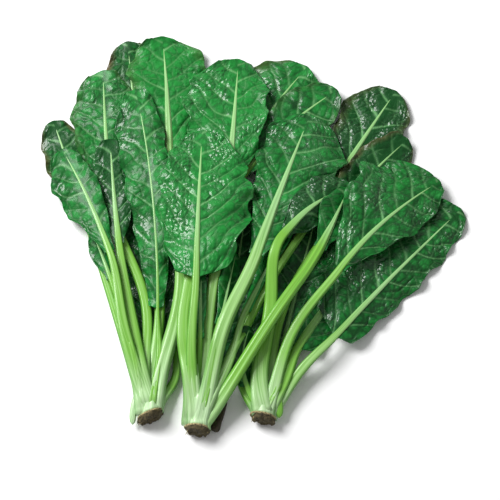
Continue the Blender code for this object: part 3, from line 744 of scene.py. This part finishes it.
def crown_body(plant):
    """The crown under the stalks' bases, flat underneath."""
    x, y = CROWNS[plant]
    rows, sides = 16, 44
    along = np.linspace(0.0, CROWN_LENGTH, rows)[:, None]
    turn = np.linspace(0.0, 2.0 * np.pi, sides, endpoint=False)[None, :]
    places = np.array([0.0, 0.4, 0.7, 1.0]) * CROWN_LENGTH
    radius = CROWN_RADIUS * np.interp(along, places, [0.88, 0.66, 0.4, 0.15])
    slant = np.interp(along, places, [1.0, 0.6, 0.0, 0.0])
    radius = radius + 0.5 * np.cos(9.0 * turn + x) * smooth_step(along / 4.0)
    out = radius * np.cos(turn)
    up = np.maximum(CROWN_HEIGHT + radius * np.sin(turn), 0.1)
    back = y + along + slant * out * np.tan(np.radians(CUT_TURN[plant]))
    points = np.stack(np.broadcast_arrays(x + out, back, up), axis=-1)
    values = {
        "around_mm": CROWN_RADIUS * turn + 0.0 * along,
        "along_mm": along + 0.0 * turn,
        "share": 0.0,
        "rise": 0.0,
        "pale": 0.9,
        "side": 0.0,
        "number": 60.0,
    }
    return points, values


def cut_end_skin(plant):
    """The slice below the crown: a rough rim, a broken brown face and stubs of fine roots."""
    x, y = CROWNS[plant]
    seed = 300 + len(plant)
    turn = np.linspace(0.0, 2.0 * np.pi, CUT_SIDES, endpoint=False)[None, :]
    profile = np.array([
        (-0.3, 0.93), (-0.6, 1.0), (-1.2, 1.03), (-1.8, 1.02), (-2.8, 0.97), (-4.2, 0.93), (-5.4, 0.89),
        (-6.2, 0.84), (-6.7, 0.76), (-7.0, 0.66), (-6.7, 0.56), (-6.8, 0.46), (-6.9, 0.36), (-6.6, 0.26),
        (-6.6, 0.16), (-6.4, 0.06),
    ])
    back, share = profile[:, :1], profile[:, 1:]
    around = 14.0 * turn / (2.0 * np.pi)
    rough = noise(around + 0.0 * back, back / 2.0 + 0.0 * turn, seed)
    rough = rough + 0.6 * noise(2.7 * around + 0.0 * back, back + 0.0 * turn, seed + 2)
    rough = rough * smooth_step((-back - 0.3) / 2.0)
    radius = CROWN_RADIUS * share * (1.0 + 0.11 * rough)
    out, over = radius * np.cos(turn), radius * np.sin(turn)
    up = np.maximum(CROWN_HEIGHT + over, 0.1)
    lumps = 1.5 * noise(out / 2.6, over / 2.6, seed + 1) + 0.9 * noise(out / 1.1, over / 1.1, seed + 3)
    lumps = lumps * smooth_step((-back - 2.0) / 3.0)
    slant = np.tan(np.radians(CUT_TURN[plant]))
    points = np.stack(np.broadcast_arrays(x + out, y + back + lumps + out * slant, up), axis=-1)
    skin = Skin()
    face = smooth_step((-back - 1.2) / 2.0)
    values = {"face": face + 0.0 * turn, "centre": 1.0 - share + 0.0 * turn}
    index = skin.add_points(points, values)
    skin.add_quads(np.concatenate([index, index[:, :1]], axis=1), (0.01, 0.12, 0.99, 0.99))
    skin.add_cap(index[0][::-1], (0.01, 0.12))
    skin.add_cap(index[-1], (0.01, 0.99))
    for number in range(ROOT_STUBS):
        chart = ((number + 0.05) / ROOT_STUBS, 0.01, (number + 0.95) / ROOT_STUBS, 0.1)
        rings = root_stub_rings(plant, np.random.default_rng(seed + 10 + number))
        add_tube(skin, rings, chart, {"face": 0.4, "centre": 0.5})
    return skin


def root_stub_rings(plant, chance):
    """A short broken root that leaves the rim of the cut end and bends back."""
    x, y = CROWNS[plant]
    angle = np.radians(chance.uniform(-20.0, 200.0))
    start = CROWN_RADIUS * chance.uniform(0.55, 0.85)
    length, radius = chance.uniform(2.2, 4.2), chance.uniform(0.45, 0.8)
    share = np.linspace(0.0, 1.0, 5)[:, None]
    turn = np.linspace(0.0, 2.0 * np.pi, 8, endpoint=False)[None, :]
    out = start + 0.5 * length * share
    slant = np.cos(angle) * start * np.tan(np.radians(CUT_TURN[plant]))
    spine = np.concatenate([
        x + out * np.cos(angle),
        y - 5.2 + slant - 0.75 * length * share**1.5,
        CROWN_HEIGHT + out * np.sin(angle),
    ], axis=1)
    thin = radius * (1.0 - 0.45 * share)
    tangent = np.array([-np.sin(angle), 0.0, np.cos(angle)])
    outward = np.array([np.cos(angle), 0.4, np.sin(angle)])
    points = spine[:, None, :] + (thin * np.cos(turn))[..., None] * tangent
    points = points + (thin * np.sin(turn))[..., None] * outward
    points[..., 2] = np.maximum(points[..., 2], 0.1)
    return points


def dry_stalk_skin():
    """A shrivelled stalk: creased, bent and pinched towards its end."""
    low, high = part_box("dry_stalk")
    shift = frame_shift()
    start = np.array([low.x / MM - shift[0] + 4.6, low.y / MM - shift[1] + 2.2, 5.2])
    end = np.array([high.x / MM - shift[0] - 2.4, high.y / MM - shift[1] - 1.0, 4.0])
    share = np.linspace(0.0, 1.0, 22)[:, None]
    turn = np.linspace(0.0, 2.0 * np.pi, 20, endpoint=False)[None, :]
    radius = 4.6 - 2.0 * share - 2.2 * smooth_step((share - 0.9) / 0.1)
    radius = radius - 1.6 * smooth_step((0.08 - share) / 0.08)
    creases = 1.0 + 0.13 * np.cos(5.0 * turn + 3.0 * share) + 0.07 * np.cos(9.0 * turn - 5.0 * share)
    radius = radius * creases
    up = np.array([0.0, 0.0, 1.0])
    middle = start + share[..., None] * (end - start) + up * 0.8 * np.sin(9.0 * share)[..., None]
    across = np.array([0.9, -0.42, 0.0])
    points = middle + radius[..., None] * (np.cos(turn)[..., None] * across + np.sin(turn)[..., None] * up)
    points[..., 2] = np.maximum(points[..., 2], 0.1)
    skin = Skin()
    values = {"face": 0.3 + 0.0 * creases, "centre": 0.5 + 0.0 * creases}
    add_tube(skin, points, (0.01, 0.01, 0.99, 0.99), values)
    return skin


# Materials.


def new_material(name):
    """A material with its nodes and its shader."""
    material = bpy.data.materials.new(name)
    material.use_nodes = True
    tree = material.node_tree
    return material, tree, tree.nodes["Principled BSDF"]


def add_node(tree, kind, settings=None, links=None, **traits):
    """A node with its traits, the values of its sockets and the outputs that feed them."""
    node = tree.nodes.new(kind)
    for name, value in traits.items():
        setattr(node, name, value)
    for name, value in (settings or {}).items():
        node.inputs[name].default_value = value
    for name, output in (links or {}).items():
        tree.links.new(output, node.inputs[name])
    return node


def value_of(tree, name):
    """A value stored on the mesh."""
    return add_node(tree, "ShaderNodeAttribute", attribute_name=name).outputs["Fac"]


def blade_material(colours):
    """Fresh wet leaf tissue, waxy on top: deep glossy green with pale veins and a paler, duller underside."""
    material, tree, shader = new_material("wet_chard_leaf")
    place = add_node(tree, "ShaderNodeCombineXYZ", links={
        "X": value_of(tree, "across_mm"), "Y": value_of(tree, "along_mm")})
    number = add_node(tree, "ShaderNodeCombineXYZ", links={"Z": value_of(tree, "number")})
    apart = add_node(tree, "ShaderNodeVectorMath", {1: (1.0, 1.0, 37.0)}, {0: number.outputs[0]},
                     operation="MULTIPLY")
    spot = add_node(tree, "ShaderNodeVectorMath", None, {0: place.outputs[0], 1: apart.outputs[0]},
                    operation="ADD")
    # Patches of lighter green, about 20 mm across.
    patches = add_node(tree, "ShaderNodeTexNoise", {"Scale": 1.0 / 20.0, "Detail": 4.0, "Roughness": 0.6},
                       {"Vector": spot.outputs[0]})
    toned = add_node(tree, "ShaderNodeMath", {1: -0.75}, {0: value_of(tree, "tone")}, operation="ADD")
    patched = add_node(tree, "ShaderNodeMath", None, {0: patches.outputs["Fac"], 1: toned.outputs[0]},
                       operation="ADD")
    # Painted shade: the blister value darkens the green in the hollows, grooves and creases, on top of the
    # random patches and the leaf's tone.
    tone_and_painted_shade = add_node(tree, "ShaderNodeMath", {1: 0.5}, {0: value_of(tree, "blister"), 2: patched.outputs[0]},
                      operation="MULTIPLY_ADD", use_clamp=True)
    stretched = add_node(tree, "ShaderNodeMapRange", {"From Min": -0.1, "From Max": 0.75},
                         {"Value": tone_and_painted_shade.outputs[0]})
    green = add_node(tree, "ShaderNodeMix", {"A": (*colours.deep, 1), "B": (*colours.bright, 1)},
                     {"Factor": stretched.outputs[0]}, data_type="RGBA")
    veined = add_node(tree, "ShaderNodeMath", {1: 0.75}, {0: value_of(tree, "vein")}, operation="MULTIPLY")
    with_veins = add_node(tree, "ShaderNodeMix", {"B": (*colours.vein, 1)},
                          {"Factor": veined.outputs[0], "A": green.outputs["Result"]}, data_type="RGBA")
    paler = add_node(tree, "ShaderNodeMath", {1: 0.55}, {0: value_of(tree, "under")}, operation="MULTIPLY")
    sided = add_node(tree, "ShaderNodeMix", {"B": (*colours.underside, 1)},
                     {"Factor": paler.outputs[0], "A": with_veins.outputs["Result"]}, data_type="RGBA")
    # The withered margin is ragged, and reaches further in on some patches than on others.
    ragged = add_node(tree, "ShaderNodeMath", {1: 0.7},
                      {0: patches.outputs["Fac"], 2: value_of(tree, "edge")}, operation="MULTIPLY_ADD")
    near_edge = add_node(tree, "ShaderNodeMapRange", {"From Min": 1.05, "From Max": 1.4},
                         {"Value": ragged.outputs[0]})
    browned = add_node(tree, "ShaderNodeMath", None, {0: near_edge.outputs[0], 1: value_of(tree, "brown")},
                       operation="MULTIPLY")
    coloured = add_node(tree, "ShaderNodeMix", {"B": (*colours.margin, 1)},
                        {"Factor": browned.outputs[0], "A": sided.outputs["Result"]}, data_type="RGBA")
    tree.links.new(coloured.outputs["Result"], shader.inputs["Base Color"])
    # Wandering wrinkles 7 mm apart and a grain of 1.3 mm break up the shine, most where the leaf is wet.
    wet = value_of(tree, "wet")
    small = add_node(tree, "ShaderNodeTexNoise", {"Scale": 1.0 / 7.0, "Detail": 1.5, "Distortion": 0.6},
                     {"Vector": spot.outputs[0]}, noise_type="RIDGED_MULTIFRACTAL")
    grain = add_node(tree, "ShaderNodeTexNoise", {"Scale": 1.0 / 1.3, "Detail": 2.0},
                     {"Vector": spot.outputs[0]})
    both = add_node(tree, "ShaderNodeMath", {1: 0.3}, {0: grain.outputs["Fac"], 2: small.outputs["Fac"]},
                    operation="MULTIPLY_ADD")
    crinkle = add_node(tree, "ShaderNodeMapRange", {"To Min": 0.5, "To Max": 1.0}, {"Value": wet})
    bump = add_node(tree, "ShaderNodeBump", {"Distance": 0.0022},
                    {"Height": both.outputs[0], "Strength": crinkle.outputs[0]})
    tree.links.new(bump.outputs[0], shader.inputs["Normal"])
    rough = add_node(tree, "ShaderNodeMapRange", {"To Min": 0.48, "To Max": 0.4}, {"Value": wet})
    tree.links.new(rough.outputs[0], shader.inputs["Roughness"])
    film = add_node(tree, "ShaderNodeMapRange", {"To Min": 0.15, "To Max": 0.65}, {"Value": wet})
    tree.links.new(film.outputs[0], shader.inputs["Coat Weight"])
    shader.inputs["IOR"].default_value = 1.45
    shader.inputs["Specular IOR Level"].default_value = 0.25
    shader.inputs["Coat Roughness"].default_value = 0.17
    return material


def stalk_material(colours):
    """Moist leaf stalk: whitish by the crown, yellow green above, with darker lengthwise strands."""
    material, tree, shader = new_material("moist_chard_stalk")
    length = add_node(tree, "ShaderNodeMath", {1: 0.02}, {0: value_of(tree, "along_mm")},
                      operation="MULTIPLY")
    number = add_node(tree, "ShaderNodeMath", {1: 23.0}, {0: value_of(tree, "number")}, operation="MULTIPLY")
    place = add_node(tree, "ShaderNodeCombineXYZ", links={
        "X": value_of(tree, "around_mm"), "Y": length.outputs[0], "Z": number.outputs[0]})
    # Strands about 1.8 mm apart.
    strands = add_node(tree, "ShaderNodeTexNoise", {"Scale": 1.0 / 1.8, "Detail": 3.0, "Roughness": 0.65},
                       {"Vector": place.outputs[0]})
    fade = add_node(tree, "ShaderNodeMapRange", {"From Min": 0.0, "From Max": 0.35},
                    {"Value": value_of(tree, "rise")})
    whiter = add_node(tree, "ShaderNodeMath", {1: -0.55, 2: 0.2}, {0: value_of(tree, "pale")},
                      operation="MULTIPLY_ADD")
    greened = add_node(tree, "ShaderNodeMath", None, {0: fade.outputs[0], 1: whiter.outputs[0]},
                       operation="ADD")
    streaked = add_node(tree, "ShaderNodeMath", {1: 0.9}, {0: strands.outputs["Fac"], 2: greened.outputs[0]},
                        operation="MULTIPLY_ADD")
    factor = add_node(tree, "ShaderNodeMapRange", {"From Min": 0.3, "From Max": 1.45},
                      {"Value": streaked.outputs[0]})
    base = add_node(tree, "ShaderNodeMix", {"A": (*colours.base, 1), "B": (*colours.green, 1)},
                    {"Factor": factor.outputs[0]}, data_type="RGBA")
    dark = add_node(tree, "ShaderNodeMapRange", {"From Min": 0.5, "From Max": 0.72, "To Max": 0.55},
                    {"Value": strands.outputs["Fac"]})
    grooved = add_node(tree, "ShaderNodeMix", {"B": (*colours.strand_and_flank_shade, 1)},
                       {"Factor": dark.outputs[0], "A": base.outputs["Result"]}, data_type="RGBA")
    # Painted shade: the flanks of a stalk are darkened towards the strand green, as a rounded stalk's sides
    # turn from the light; a midrib pales towards its end.
    painted_flank_shade = add_node(tree, "ShaderNodeMapRange", {"From Min": 0.6, "From Max": 1.0, "To Max": 0.6},
                     {"Value": value_of(tree, "side")})
    with_painted_flank_shade = add_node(tree, "ShaderNodeMix", {"B": (*colours.strand_and_flank_shade, 1)},
                       {"Factor": painted_flank_shade.outputs[0], "A": grooved.outputs["Result"]}, data_type="RGBA")
    end = add_node(tree, "ShaderNodeMapRange", {"From Min": 0.0, "From Max": 0.35, "To Max": 0.7},
                   {"Value": value_of(tree, "share")})
    ended = add_node(tree, "ShaderNodeMix", {"B": (*colours.midrib, 1)},
                     {"Factor": end.outputs[0], "A": with_painted_flank_shade.outputs["Result"]}, data_type="RGBA")
    tree.links.new(ended.outputs["Result"], shader.inputs["Base Color"])
    bump = add_node(tree, "ShaderNodeBump", {"Strength": 0.5, "Distance": 0.0007},
                    {"Height": strands.outputs["Fac"]})
    tree.links.new(bump.outputs[0], shader.inputs["Normal"])
    shader.inputs["Roughness"].default_value = 0.38
    shader.inputs["IOR"].default_value = 1.4
    shader.inputs["Coat Weight"].default_value = 0.2
    shader.inputs["Coat Roughness"].default_value = 0.15
    return material


def cut_material(name, colours, rim):
    """Corky cut root tissue, dried: a tan rim round a dark brown, crumbling face."""
    material, tree, shader = new_material(name)
    place = add_node(tree, "ShaderNodeTexCoord")
    # Crumbs about 2 mm across.
    crumbs = add_node(tree, "ShaderNodeTexNoise",
                      {"Scale": 1.0 / (2.0 * MM), "Detail": 4.0, "Roughness": 0.7},
                      {"Vector": place.outputs["Object"]})
    faced = add_node(tree, "ShaderNodeMath", {1: 0.6}, {0: crumbs.outputs["Fac"], 2: value_of(tree, "face")},
                     operation="MULTIPLY_ADD")
    factor = add_node(tree, "ShaderNodeMapRange", {"From Min": 0.35, "From Max": 1.2},
                      {"Value": faced.outputs[0]})
    brown = add_node(tree, "ShaderNodeMix", {"A": (*rim, 1), "B": (*colours.face, 1)},
                     {"Factor": factor.outputs[0]}, data_type="RGBA")
    dark = add_node(tree, "ShaderNodeMapRange", {"From Min": 0.47, "From Max": 0.62, "To Max": 0.85},
                    {"Value": crumbs.outputs["Fac"]})
    coloured = add_node(tree, "ShaderNodeMix", {"B": (*colours.pit, 1)},
                        {"Factor": dark.outputs[0], "A": brown.outputs["Result"]}, data_type="RGBA")
    tree.links.new(coloured.outputs["Result"], shader.inputs["Base Color"])
    bump = add_node(tree, "ShaderNodeBump", {"Strength": 0.8, "Distance": 0.001},
                    {"Height": crumbs.outputs["Fac"]})
    tree.links.new(bump.outputs[0], shader.inputs["Normal"])
    shader.inputs["Roughness"].default_value = 0.85
    return material


# Settings that a user would change.


def length_property(name, description, default_mm):
    return FloatProperty(name=name, description=description, default=default_mm * MM, min=0.0, unit="LENGTH")


def colour_property(name, description, default):
    return FloatVectorProperty(name=name, description=description, default=linear(default), subtype="COLOR",
                               size=3, min=0.0, max=1.0)


@dataclass
class BladeLook:
    """The blade settings in millimetres."""

    spacing: float
    thickness: float
    vein_spacing: float
    vein_lean: float
    blister_size: float
    blister_height: float
    pucker_height: float
    ruffle_length: float
    ruffle_height: float
    wetness: float


class ChardBladeSettings(bpy.types.PropertyGroup):
    spacing: length_property("Mesh spacing", "Distance between the points of a blade", 1.18)
    thickness: length_property("Thickness", "Thickness of a blade at its midrib", 0.7)
    vein_spacing: length_property("Vein spacing", "Distance between side veins along the midrib", 21.0)
    vein_lean: FloatProperty(name="Vein lean", default=0.7, min=0.0, max=2.0,
                             description="How far side veins lean towards the tip, per width")
    blister_size: length_property("Blister size", "Width of a blister between small veins", 11.0)
    blister_height: length_property("Blister height", "Height of a blister", 1.0)
    pucker_height: length_property("Pucker height", "Height of the broad puckers", 1.6)
    ruffle_length: length_property("Ruffle length", "Length of a ruffle along the margin", 29.0)
    ruffle_height: length_property("Ruffle height", "Height of the ruffles at the margin", 2.2)
    wetness: FloatProperty(name="Wetness", description="How much of a blade is crinkled and wet", default=0.7,
                           min=0.0, max=1.0)
    # Deep green is the darker leaves' own colour and also painted shade in the hollows; bright green also
    # paints the lit tops of the blisters.
    bright: colour_property("Bright green", "Blade colour on blisters", "#1C8533")
    deep: colour_property("Deep green", "Blade colour in hollows", "#083B14")
    vein: colour_property("Vein", "Colour of the veins", "#7DBE79")
    underside: colour_property("Underside", "Colour of the blade's underside", "#3F8B44")
    margin: colour_property("Margin", "Colour of a withered margin", "#554C2C")

    def in_mm(self):
        shares = ("vein_lean", "wetness")
        scales = {name: 1.0 if name in shares else MM for name in BladeLook.__dataclass_fields__}
        return BladeLook(**{name: getattr(self, name) / scale for name, scale in scales.items()})


class ChardStalkSettings(bpy.types.PropertyGroup):
    ridge_height: length_property("Ridge height", "Height of the ridges along a stalk", 0.35)
    ridge_count: IntProperty(name="Ridges", description="Main ridges round a stalk", default=7, min=0)
    base: colour_property("Base", "Colour of a stalk by the crown", "#B9D8A8")
    green: colour_property("Green", "Colour of a stalk below the blade", "#78B541")
    midrib: colour_property("Midrib", "Colour of a midrib on its blade", "#93C285")
    # The strand green is also the painted shade on a stalk's flanks.
    strand_and_flank_shade: colour_property("Strand", "Colour of the darker strands", "#458A2A")


class ChardCutSettings(bpy.types.PropertyGroup):
    rim: colour_property("Rim", "Colour of the rim of the cut", "#B9A97A")
    face: colour_property("Face", "Colour of the cut face", "#51482C")
    pit: colour_property("Pits", "Colour of the pits in the cut face", "#15130A")
    dry: colour_property("Dry stalk", "Lighter colour of the dried stalk", "#2E2618")


class ChardStageSettings(bpy.types.PropertyGroup):
    floor: colour_property("Floor", "Colour of the matt floor", "#FAFAFA")
    key_power: FloatProperty(name="Key light", description="Power of the soft light overhead", default=88.0,
                             min=0.0, unit="POWER")
    fill: FloatProperty(name="Fill", description="Strength of the light from all round", default=0.36,
                        min=0.0)
    camera_distance: length_property("Camera distance", "From the camera to the bunch", 3000.0)
    camera_height: FloatProperty(name="Camera elevation", description="Angle of the view above the surface",
                                 default=np.radians(68.0), subtype="ANGLE")
    view_width: length_property("View width", "Width of what the camera sees at the bunch", 500.0)


class CHARD_OT_blades(bpy.types.Operator):
    """Builds every leaf blade with its veins, blisters and ruffled margin"""

    bl_idname = "chard.blades"
    bl_label = "Leaf blades"

    def execute(self, context):
        material = blade_material(context.scene.chard_blades)
        for shape in leaf_shapes():
            name = shape.leaf.name
            blade_skin(shape).make(f"{name}_leaf", material, "leaf", [f"{name}_blade"])
        return {"FINISHED"}


class CHARD_OT_stalks(bpy.types.Operator):
    """Builds each plant's ribbed stalks and midribs on their crown"""

    bl_idname = "chard.stalks"
    bl_label = "Stalks and crowns"

    def execute(self, context):
        settings = context.scene.chard_stalks
        material = stalk_material(settings)
        for plant in CROWNS:
            shapes = [shape for shape in leaf_shapes() if shape.leaf.plant == plant]
            skin = Skin()
            sheaths = [sheath for sheath in SHEATHS if sheath.plant == plant]
            tubes = [stalk_rings(shape, settings.ridge_height / MM, settings.ridge_count) for shape in shapes]
            tubes += [sheath_rings(sheath, 50.0 + number) for number, sheath in enumerate(sheaths)]
            tubes.append(crown_body(plant))
            strips = len(tubes)
            for strip in range(strips):
                chart = ((strip + 0.04) / strips, 0.01, (strip + 0.96) / strips, 0.99)
                add_tube(skin, tubes[strip][0], chart, tubes[strip][1])
            skin.make(f"{plant}_plant", material, "stalk", [f"{plant}_stalks"])
        return {"FINISHED"}


class CHARD_OT_cut_ends(bpy.types.Operator):
    """Builds the brown cut ends below the crowns"""

    bl_idname = "chard.cut_ends"
    bl_label = "Cut ends"

    def execute(self, context):
        settings = context.scene.chard_cuts
        material = cut_material("dried_cut_root", settings, settings.rim)
        for plant in CROWNS:
            cut_end_skin(plant).make(f"{plant}_root_cut", material, "cut_end", [f"{plant}_cut_end"])
        return {"FINISHED"}


class CHARD_OT_dry_stalk(bpy.types.Operator):
    """Builds the shrivelled stalk beside the middle crown"""

    bl_idname = "chard.dry_stalk"
    bl_label = "Dry stalk"

    def execute(self, context):
        settings = context.scene.chard_cuts
        material = cut_material("withered_stalk", settings, settings.dry)
        dry_stalk_skin().make("withered_stalk", material, "dry_stalk", ["dry_stalk"])
        return {"FINISHED"}


class CHARD_OT_stage(bpy.types.Operator):
    """Sets the pale floor, the soft studio light and the camera"""

    bl_idname = "chard.stage"
    bl_label = "Stage"

    def execute(self, context):
        settings, scene = context.scene.chard_stage, context.scene
        floor_mesh = bpy.data.meshes.new("floor")
        reach = FLOOR_REACH
        corners = [(-reach, -reach, 0.0), (reach, -reach, 0.0), (reach, reach, 0.0), (-reach, reach, 0.0)]
        floor_mesh.from_pydata(corners, [], [(0, 1, 2, 3)])
        floor = bpy.data.objects.new("floor", floor_mesh)
        floor.location.z = -0.0003
        scene.collection.objects.link(floor)
        # Matt painted board, which takes a soft shadow and shows no shine.
        material, _, shader = new_material("matt_painted_board")
        shader.inputs["Base Color"].default_value = (*settings.floor, 1.0)
        shader.inputs["Roughness"].default_value = 0.9
        shader.inputs["Specular IOR Level"].default_value = 0.1
        floor_mesh.materials.append(material)
        light_data = bpy.data.lights.new("soft_box", "AREA")
        light_data.energy = settings.key_power
        light_data.size = LIGHT_SIZE
        light = bpy.data.objects.new("soft_box", light_data)
        light.location = LIGHT_PLACE
        light.rotation_euler = (-light.location).to_track_quat("-Z", "Y").to_euler()
        scene.collection.objects.link(light)
        world = bpy.data.worlds.new("white_room")
        world.use_nodes = True
        world.node_tree.nodes["Background"].inputs["Strength"].default_value = settings.fill
        world.node_tree.nodes["Background"].inputs["Color"].default_value = (1.0, 1.0, 1.0, 1.0)
        scene.world = world
        scene.view_settings.view_transform = "Standard"
        camera_data = bpy.data.cameras.new("camera")
        camera = bpy.data.objects.new("camera", camera_data)
        target = (Vector(VIEW_CENTRE) + frame_shift()) * MM
        away = Vector((0.0, -np.cos(settings.camera_height), np.sin(settings.camera_height)))
        camera.location = target + away * settings.camera_distance
        camera.rotation_euler = (-away).to_track_quat("-Z", "Y").to_euler()
        camera_data.sensor_width = 36.0
        camera_data.lens = 36.0 * settings.camera_distance / settings.view_width
        camera_data.clip_end = 20.0
        scene.collection.objects.link(camera)
        scene.camera = camera
        return {"FINISHED"}


class CHARD_PT_panel(bpy.types.Panel):
    bl_label = "Swiss chard bunch"
    bl_space_type = "VIEW_3D"
    bl_region_type = "UI"
    bl_category = "Chard"

    def draw(self, context):
        for title, settings, operators in STEPS:
            box = self.layout.box()
            box.label(text=title)
            group = getattr(context.scene, settings)
            for name in group.bl_rna.properties.keys():
                if name not in ("rna_type", "name"):
                    box.prop(group, name)
            for operator in operators:
                box.operator(operator.bl_idname)


STEPS = (
    ("Blades", "chard_blades", (CHARD_OT_blades,)),
    ("Stalks", "chard_stalks", (CHARD_OT_stalks,)),
    ("Cut ends", "chard_cuts", (CHARD_OT_cut_ends, CHARD_OT_dry_stalk)),
    ("Stage", "chard_stage", (CHARD_OT_stage,)),
)
GROUPS = {
    "chard_blades": ChardBladeSettings,
    "chard_stalks": ChardStalkSettings,
    "chard_cuts": ChardCutSettings,
    "chard_stage": ChardStageSettings,
}
CLASSES = (*GROUPS.values(), *(operator for step in STEPS for operator in step[2]), CHARD_PT_panel)


def register():
    """Makes the settings, operators and panel known to Blender."""
    for item in CLASSES:
        bpy.utils.register_class(item)
    for name, group in GROUPS.items():
        setattr(bpy.types.Scene, name, PointerProperty(type=group))


def unregister():
    """Takes away what register added."""
    for name in GROUPS:
        delattr(bpy.types.Scene, name)
    for item in reversed(CLASSES):
        bpy.utils.unregister_class(item)


def main():
    """Builds every piece and the stage."""
    register()
    bpy.ops.chard.blades()
    bpy.ops.chard.stalks()
    bpy.ops.chard.cut_ends()
    bpy.ops.chard.dry_stalk()
    bpy.ops.chard.stage()


if __name__ == "__main__":
    main()
